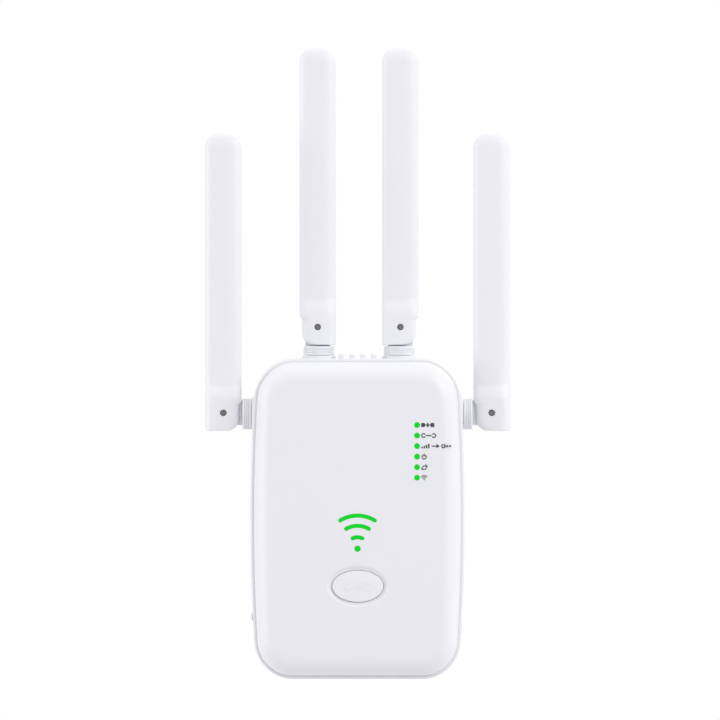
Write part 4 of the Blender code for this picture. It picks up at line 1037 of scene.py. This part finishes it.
def build_plug():
    low, high = CARRIER_LOW, CARRIER_HIGH
    flange = rounded_rectangle(PLUG_CENTRE, (high.x - low.x) / 2, (high.z - low.z) / 2, 1.0)
    carrier = prism("flange", ((flange, low.y), (flange, BACK_INNER_Y - GAP)))
    face = growing_rectangle(PLUG_CENTRE, PLUG_HALF_WIDTH, PLUG_HALF_HEIGHT, PLUG_CORNER)
    stations = [(face(0.0), low.y + ROOT), (face(0.0), high.y - PLUG_EDGE)]
    for sine, cosine in quarter(PLUG_EDGE_STEPS, 1):
        stations.append((face(-PLUG_EDGE * (1 - cosine)), high.y - PLUG_EDGE * (1 - sine)))
    carrier = joined(carrier, prism("face", stations))
    for blade in BLADES:
        size = (box(blade)[1] - box(blade)[0]) / 2
        place = (middle(blade).x, middle(blade).z)
        outline = growing_rectangle(place, size.x + BLADE_SEAM, size.z + BLADE_SEAM, 0.2, 4)
        slot = opening("blade_slot", outline, high.y + OVERSHOOT, high.y, low.y - OVERSHOOT, 0.3)
        carrier = carved(carrier, slot)
    add_piece("plug_face", carrier, SHELL_WHITE, "housing", "shell_white", "plug_carrier")
    for blade in BLADES:
        build_blade(blade)


def build_blade(node):
    """A flat blade with a tapered tip and a chamfered eye."""
    low, high = box(node)
    centre = middle(node)
    half_x, half_z = (high.x - low.x) / 2, (high.z - low.z) / 2
    stations = []
    for inset, depth in ((0.0, low.y), *[(inset, high.y - distance) for inset, distance in BLADE_TIP]):
        half_sides = half_x - BLADE_TAPER * inset, half_z - inset
        stations.append((rounded_rectangle((centre.x, centre.z), *half_sides, BLADE_EDGE, 3), depth))
    mesh = prism(node, stations)
    reach = half_x - EYE_EDGE
    profile = ((2.0, -1.2), (EYE_RADIUS, -reach), (EYE_RADIUS, reach), (2.0, 1.2))
    eye = turned("eye", profile, (centre.x, high.y - EYE_FROM_TIP, centre.z), (1, 0, 0))
    add_piece(f"{node}_plated", carved(mesh, eye), BLADE_METAL, "housing", "blade_metal", node)


def jack_mouth(x, low_y, growth):
    """The mouth of a jack, seen from below: a wide part and the latch's narrow part."""
    wide, narrow = MOUTH_HALF_WIDTH + growth, LATCH_HALF_WIDTH + growth
    front, back = low_y + MOUTH_FRONT - growth, low_y + MOUTH_BACK + growth
    right = [(wide, front), (wide, back), (narrow, back), (narrow, back + LATCH_DEPTH)]
    left = [(-across, y) for across, y in reversed(right)]
    return [(x + across, y) for across, y in left[-1:] + right + left[:-1]]


def build_jacks():
    for jack in JACKS:
        low, high = box(jack)
        x = (low.x + high.x) / 2
        centre = (x, (low.y + high.y) / 2)
        side = growing_rectangle(centre, (high.x - low.x) / 2, (high.y - low.y) / 2, JACK_EDGE, 4)
        end = rounded_rectangle(
            centre, (high.x - low.x) / 2 - JACK_EDGE, (high.y - low.y) / 2 - JACK_EDGE, JACK_EDGE, 4
        )
        body = prism(jack, ((end, low.z), (side(0.0), low.z + JACK_EDGE), (side(0.0), high.z)), "Z")
        depth = low.z + MOUTH_DEPTH
        mouth = opening(
            "mouth", partial(jack_mouth, x, low.y), low.z - OVERSHOOT, low.z, depth, MOUTH_CHAMFER, "Z"
        )
        add_piece(f"{jack}_body", carved(body, mouth), PART_BLACK, "housing", "part_black", jack)
        contacts = []
        for place in in_row(CONTACT_COUNT, CONTACT_PITCH):
            route = [(x + place, low.y + MOUTH_FRONT + y, low.z + z) for y, z in CONTACT_ROUTE]
            contacts.append(wire("contact", route, CONTACT_RADIUS))
        add_piece(f"{jack}_contacts", merged("contacts", contacts), CONTACT_GOLD, "housing", "copper")


def wire(name, route, radius, sides=10):
    """A round wire along a bent route in the plane across X."""
    across = Vector((1, 0, 0))
    angles = [2 * math.pi * step / sides for step in range(sides)]
    rings = []
    for number, point in enumerate(route):
        before = Vector(route[max(number - 1, 0)])
        after = Vector(route[min(number + 1, len(route) - 1)])
        beside = (after - before).normalized().cross(across)
        rings.append(
            [Vector(point) + (across * math.cos(a) + beside * math.sin(a)) * radius for a in angles]
        )
    return lofted(name, rings)


def build_slider():
    """A grooved nib with a flange behind the wall and an arm to the switch."""
    low, high = box("mode_slider")
    centre = middle("mode_slider")
    y, z = centre.y, centre.z
    outer = low.x
    wall = outer + SLIDER_PROUD + WALL
    nib = []
    for inset, depth in ((0.35, outer), (0.1, outer + 0.1), (0.0, outer + 0.35), (0.0, wall + 0.8)):
        half_sides = SLIDER_HALF_DEPTH - inset, SLIDER_HALF_HEIGHT - inset
        nib.append((rounded_rectangle((y, z), *half_sides, SLIDER_CORNER, 4), depth))
    mesh = prism("nib", nib, "X")
    grooves = []
    for rise in in_row(SLIDER_GROOVES, SLIDER_GROOVE_PITCH):
        groove_low = (outer - OVERSHOOT, y - 2.0, z + rise - SLIDER_GROOVE_HALF)
        groove_high = (outer + SLIDER_GROOVE_DEPTH, y + 2.0, z + rise + SLIDER_GROOVE_HALF)
        grooves.append(brick("groove", groove_low, groove_high))
    mesh = carved(mesh, merged("grooves", grooves))
    mesh = joined(mesh, brick("flange", (wall + 0.5, low.y, low.z), (wall + 1.6, high.y, high.z)))
    mesh = joined(mesh, brick("arm", (wall + 1.0, y - 0.6, z - 1.0), (high.x, y + 0.6, z + 1.0)))
    add_piece("mode_slider_nib", mesh, SLIDER_GREY, "slider", "slider_grey", "mode_slider")


# Antennas.


def fold_side_reach(height):
    """How far the paddle reaches on its fold side, at a height from the pin."""
    step_top = FOLD_SIDE_STEP + FOLD_SIDE_SLOPE
    corner = PADDLE_FOOT + FOLD_CORNER
    if height >= step_top:
        return PADDLE_HALF_WIDTH
    if height >= FOLD_SIDE_STEP:
        part = (height - FOLD_SIDE_STEP) / (step_top - FOLD_SIDE_STEP)
        return FOLD_SIDE_HALF_WIDTH + (PADDLE_HALF_WIDTH - FOLD_SIDE_HALF_WIDTH) * eased(part)
    if height >= corner:
        return FOLD_SIDE_HALF_WIDTH
    drop = corner - height
    return FOLD_SIDE_HALF_WIDTH - FOLD_CORNER + math.sqrt(max(FOLD_CORNER ** 2 - drop ** 2, 0.0))


def paddle_ring(height, left, right, half_thickness, power, sides=64):
    """A superellipse that reaches left and right of the pin's plane."""
    centre, half_width = (right - left) / 2, (right + left) / 2
    points = []
    for step in range(sides):
        angle = 2 * math.pi * (step + 0.5) / sides
        across, through = math.cos(angle), math.sin(angle)
        x = math.copysign(abs(across) ** (2 / power), across) * half_width
        y = math.copysign(abs(through) ** (2 / power), through) * half_thickness
        points.append((centre + x, y, height))
    return points


def foot_rings():
    """The rounded foot and the cheeks, up to the scoop."""
    rings = []
    for sine, cosine in quarter(4):
        height = PADDLE_FOOT + FOOT_EDGE * (1 - cosine)
        shrink = FOOT_EDGE * (1 - sine)
        reach = fold_side_reach(height) - shrink * 0.5
        left, thickness = PADDLE_HALF_WIDTH - shrink, CHEEK_HALF_THICKNESS - shrink
        rings.append(paddle_ring(height, left, reach, thickness, CHEEK_POWER))
    bottom, rise = PADDLE_FOOT + FOOT_EDGE, FOLD_CORNER - FOOT_EDGE
    heights = [bottom + rise * (n / 7) ** 1.4 for n in range(1, 8)]
    heights += [-0.8, 0.8, FOLD_SIDE_STEP]
    heights += [FOLD_SIDE_STEP + FOLD_SIDE_SLOPE * n / 6 for n in range(1, 7)]
    for height in heights:
        reach = fold_side_reach(height)
        rings.append(paddle_ring(height, PADDLE_HALF_WIDTH, reach, CHEEK_HALF_THICKNESS, CHEEK_POWER))
    return rings


def scoop_rings():
    """The cheeks thin down to the blade."""
    rings = []
    for step in range(1, SCOOP_STEPS + 1):
        part = step / SCOOP_STEPS
        height = SCOOP_START + (SCOOP_END - SCOOP_START) * part
        share = 1 - eased(part)
        thickness = BLADE_HALF_THICKNESS + (CHEEK_HALF_THICKNESS - BLADE_HALF_THICKNESS) * share
        power = BLADE_POWER + (CHEEK_POWER - BLADE_POWER) * share
        rings.append(paddle_ring(height, PADDLE_HALF_WIDTH, PADDLE_HALF_WIDTH, thickness, power))
    return rings


def blade_rings():
    """The even blade and its round tip."""
    rings = []
    end = PADDLE_TIP - TIP_RADIUS
    for step in range(1, 9):
        height = SCOOP_END + (end - SCOOP_END) * step / 8
        rings.append(
            paddle_ring(height, PADDLE_HALF_WIDTH, PADDLE_HALF_WIDTH, BLADE_HALF_THICKNESS, BLADE_POWER)
        )
    for step in range(1, TIP_STEPS + 1):
        angle = math.radians(88.0) * step / TIP_STEPS
        height = end + TIP_RADIUS * math.sin(angle)
        thickness = BLADE_HALF_THICKNESS * (1 - 0.8 * (1 - math.cos(angle)))
        reach = PADDLE_HALF_WIDTH - TIP_RADIUS * (1 - math.cos(angle))
        rings.append(paddle_ring(height, reach, reach, thickness, BLADE_POWER))
    return rings


def paddle_mesh():
    """The paddle with its clevis, pin on the origin, tip up and fold side at +X."""
    paddle = lofted("paddle", foot_rings() + scoop_rings() + blade_rings())
    half = (
        (PIN_BORE + BORE_LIP, -6.0),
        (PIN_BORE + BORE_LIP, -CHEEK_HALF_THICKNESS),
        (PIN_BORE, -CHEEK_HALF_THICKNESS + BORE_LIP),
    )
    bore = turned("bore", mirrored(half), (0, 0, 0), (0, 1, 0))
    for tool in (brick("cavity", *CAVITY), brick("slot", *CLEVIS_SLOT), bore):
        paddle = carved(paddle, tool)
    return paddle


def mirrored(profile):
    """A turned profile and its mirror image, from end to end."""
    return profile + tuple((radius, -distance) for radius, distance in reversed(profile))


def barrel_mesh():
    """Barrel, neck, retaining flange and tongue; axis up and fold side at +X."""
    profile = [
        (FLANGE_RADIUS - 0.6, FLANGE_END),
        (FLANGE_RADIUS, FLANGE_FACE),
        (NECK_RADIUS, FLANGE_FACE),
        (NECK_RADIUS, BARREL_START),
        (BARREL_RADIUS - BARREL_EDGE, BARREL_START),
    ]
    for sine, cosine in quarter(4, 1):
        inset = BARREL_EDGE * (1 - sine)
        profile.append((BARREL_RADIUS - inset, BARREL_START + BARREL_EDGE * (1 - cosine)))
    half = GROOVE_WIDTH / 2
    floor = BARREL_RADIUS - GROOVE_DEPTH
    for groove in BARREL_GROOVES:
        profile += [(BARREL_RADIUS, groove - half), (floor, groove - half * 0.4)]
        profile += [(floor, groove + half * 0.4), (BARREL_RADIUS, groove + half)]
    for sine, cosine in quarter(4):
        inset = BARREL_EDGE * (1 - cosine)
        profile.append((BARREL_RADIUS - inset, BARREL_FACE - BARREL_EDGE * (1 - sine)))
    barrel = turned("barrel", profile, (0, 0, 0), (0, 0, 1), 64)
    root = BARREL_FACE - 1.5
    outline = [(PIN_OFFSET - TONGUE_RADIUS, root), (PIN_OFFSET + TONGUE_RADIUS, root)]
    outline += arc((PIN_OFFSET, PIN_OUT), TONGUE_RADIUS, 0.0, 180.0, 28)
    sides = (-TONGUE_HALF_THICKNESS, TONGUE_HALF_THICKNESS)
    barrel = joined(barrel, prism("tongue", [(outline, side) for side in sides]))
    bore = rod("bore", PIN_BORE, (PIN_OFFSET, -3, PIN_OUT), (PIN_OFFSET, 3, PIN_OUT))
    barrel = carved(barrel, bore)
    lead_bore = rod("lead_bore", LEAD_BORE, (0, 0, -7.0), (0, 0, BARREL_FACE - 1.0), 24)
    return carved(barrel, lead_bore)


def placed(mesh, origin, side, outward):
    """A copy of a mesh made about its own origin, set into the frame."""
    turn = Matrix((side, outward.cross(side), outward)).transposed().to_4x4()
    copy = mesh.copy()
    copy.transform(Matrix.Translation(origin * MM) @ turn)
    return copy


def build_antennas():
    paddle = paddle_mesh()
    barrel = barrel_mesh()
    up = Vector((0, 0, 1))
    half_pin = (
        (PIN_RADIUS - 0.3, -PIN_HALF_LENGTH),
        (PIN_RADIUS - 0.08, -PIN_HALF_LENGTH + 0.1),
        (PIN_RADIUS, -PIN_HALF_LENGTH + 0.3),
    )
    for place, outward in SOCKETS.items():
        fold = JOINTS[f"{place}_fold"]
        pin = Vector(fold["pos_m"]) / MM
        if outward == up:  # these fold to the side that their range opens to
            fold_side = paddle_side = Vector((math.copysign(1, sum(fold["range_deg"])), 0, 0))
        else:
            fold_side = up
            paddle_side = -outward
        finish = ANTENNA_WHITE, f"{place}_knuckle", "antenna_white"
        mesh = placed(barrel, socket_face(place), fold_side, outward)
        add_piece(f"{place}_swivel_barrel", mesh, *finish, f"{place}_barrel")
        finish = ANTENNA_WHITE, f"{place}_paddle", "antenna_white"
        mesh = placed(paddle, pin, paddle_side, up)
        add_piece(f"{place}_blade", mesh, *finish, f"{place}_antenna")
        mesh = turned("pin", mirrored(half_pin), pin, (0, 1, 0), 32)
        add_piece(f"{place}_hinge_pin", mesh, PIN_STEEL, f"{place}_paddle", "pin_steel", f"{place}_pin")


# CAD nodes whose shape is kept: they only get a better material.
CHIPS = ("processor", "memory_chip", "network_transformer")
POWER_PARTS = ("power_transformer", "mains_capacitor", "output_capacitor")
CARRIED = {
    BOARD_GREEN: ("main_board", "power_board"),
    PART_BLACK: ("wps_switch", *CHIPS, *POWER_PARTS),
    TINNED_STEEL: ("radio_shield", "mode_switch", "fuse"),
    SLIDER_GREY: ("wps_plunger",),
    STATUS_GREEN: ("signal_led", *[f"status_led_{number}" for number in range(1, STATUS_COUNT + 1)]),
    COPPER: tuple(f"{place}_radiator" for place in SOCKETS),
    LEAD_GREY: tuple(f"{place}_lead" for place in SOCKETS),
}


def paint_carried_nodes():
    for material, names in CARRIED.items():
        for name in names:
            mesh = frame["nodes"][name].data
            mesh.materials.clear()
            mesh.materials.append(material)


# ---- Camera, light, floor


LENS = 800.0
SENSOR = 36.0
FRAME_WIDTH = 0.240  # metres seen across the picture at the object
AIM_OFFSET = (0.00083, 0.0011)  # metres, of the picture's middle from the object's
LIGHT_TARGET = (0.0, -0.02, 0.04)
LIGHTS = {  # place in metres, size in metres, power in watts
    "key": ((1.05, -1.0, 0.6), 1.0, 8.0),
    "fill": ((-1.2, -0.4, 0.1), 0.8, 4.0),
    "back": ((0.5, 1.1, 0.7), 0.8, 3.0),
}
SKY_BY_HEIGHT = (-1.0, 1.0, 0.82, 0.99)  # straight down to straight up, and strength there
SKY_BY_DEPTH = (0.0, 1.0, 1.33, 0.67)  # beside the object to in front of it or behind it
FLOOR_HALF = 4000.0
FLOOR_DROP = 200.0


def aim(item, target):
    item.rotation_euler = (Vector(target) - item.location).to_track_quat("-Z", "Y").to_euler()


def add_camera():
    """Level with the middle of the object's height, straight on to its front."""
    low, high = CAD_BOUNDS
    data = bpy.data.cameras.new("camera")
    data.lens = LENS
    data.sensor_width = SENSOR
    data.clip_end = 50.0
    camera = linked("camera", data)
    across, up = AIM_OFFSET
    aim_at = Vector(((low[0] + high[0]) / 2 + across, -0.020, (low[2] + high[2]) / 2 + up))
    camera.location = aim_at - Vector((0.0, FRAME_WIDTH * LENS / SENSOR, 0.0))
    aim(camera, aim_at)
    bpy.context.scene.camera = camera


def add_lights():
    for name, (place, size, power) in LIGHTS.items():
        data = bpy.data.lights.new(name, "AREA")
        data.shape = "SQUARE"
        data.size = size
        data.energy = power
        light = linked(name, data)
        light.location = place
        aim(light, LIGHT_TARGET)


def add_world():
    """A plain studio, brighter overhead and at the sides, which the camera sees as white."""
    world = bpy.data.worlds.new("studio")
    world.use_nodes = True
    tree = world.node_tree
    link = tree.links.new
    background = tree.nodes["Background"]
    parts = add_node(tree, "ShaderNodeSeparateXYZ")
    link(add_node(tree, "ShaderNodeTexCoord").outputs["Generated"], parts.inputs["Vector"])
    depth = add_node(tree, "ShaderNodeMath", operation="ABSOLUTE")
    link(parts.outputs["Y"], depth.inputs[0])
    product = add_node(tree, "ShaderNodeMath", operation="MULTIPLY")
    sources = ((parts.outputs["Z"], SKY_BY_HEIGHT), (depth.outputs["Value"], SKY_BY_DEPTH))
    for number, (source, limits) in enumerate(sources):
        ranged = add_node(tree, "ShaderNodeMapRange")
        fill_range(ranged, *limits)
        link(source, ranged.inputs["Value"])
        link(ranged.outputs["Result"], product.inputs[number])
    seen = add_node(tree, "ShaderNodeMix", data_type="FLOAT")
    seen.inputs["B"].default_value = 1.0
    link(add_node(tree, "ShaderNodeLightPath").outputs["Is Camera Ray"], seen.inputs["Factor"])
    link(product.outputs["Value"], seen.inputs["A"])
    link(seen.outputs["Result"], background.inputs["Strength"])
    background.inputs["Color"].default_value = (1.0, 1.0, 1.0, 1.0)
    bpy.context.scene.world = world
    bpy.context.scene.view_settings.view_transform = "Standard"


def add_floor():
    """A plain floor well below the object, which hangs on its plug."""
    corners = rounded_rectangle((0.0, 0.0), FLOOR_HALF, FLOOR_HALF, 100.0)
    mesh = prism("floor", ((corners, -FLOOR_DROP - 10.0), (corners, -FLOOR_DROP)), "Z")
    finish = Finish("floor_white", (0.86, 0.86, 0.87), 0.7)
    finish.tinted(finish.noise(300.0, 2.0), (0.84, 0.84, 0.85))
    finish_surface(mesh, finish.material)
    floor = linked("floor", mesh)
    floor.visible_diffuse = False


add_camera()
add_lights()
add_world()
add_floor()
build_front_cover()
build_signal_light()
build_status_lights()
build_signs()
build_button()
build_rear_shell()
build_screws()
build_plug()
build_jacks()
build_slider()
build_antennas()
paint_carried_nodes()
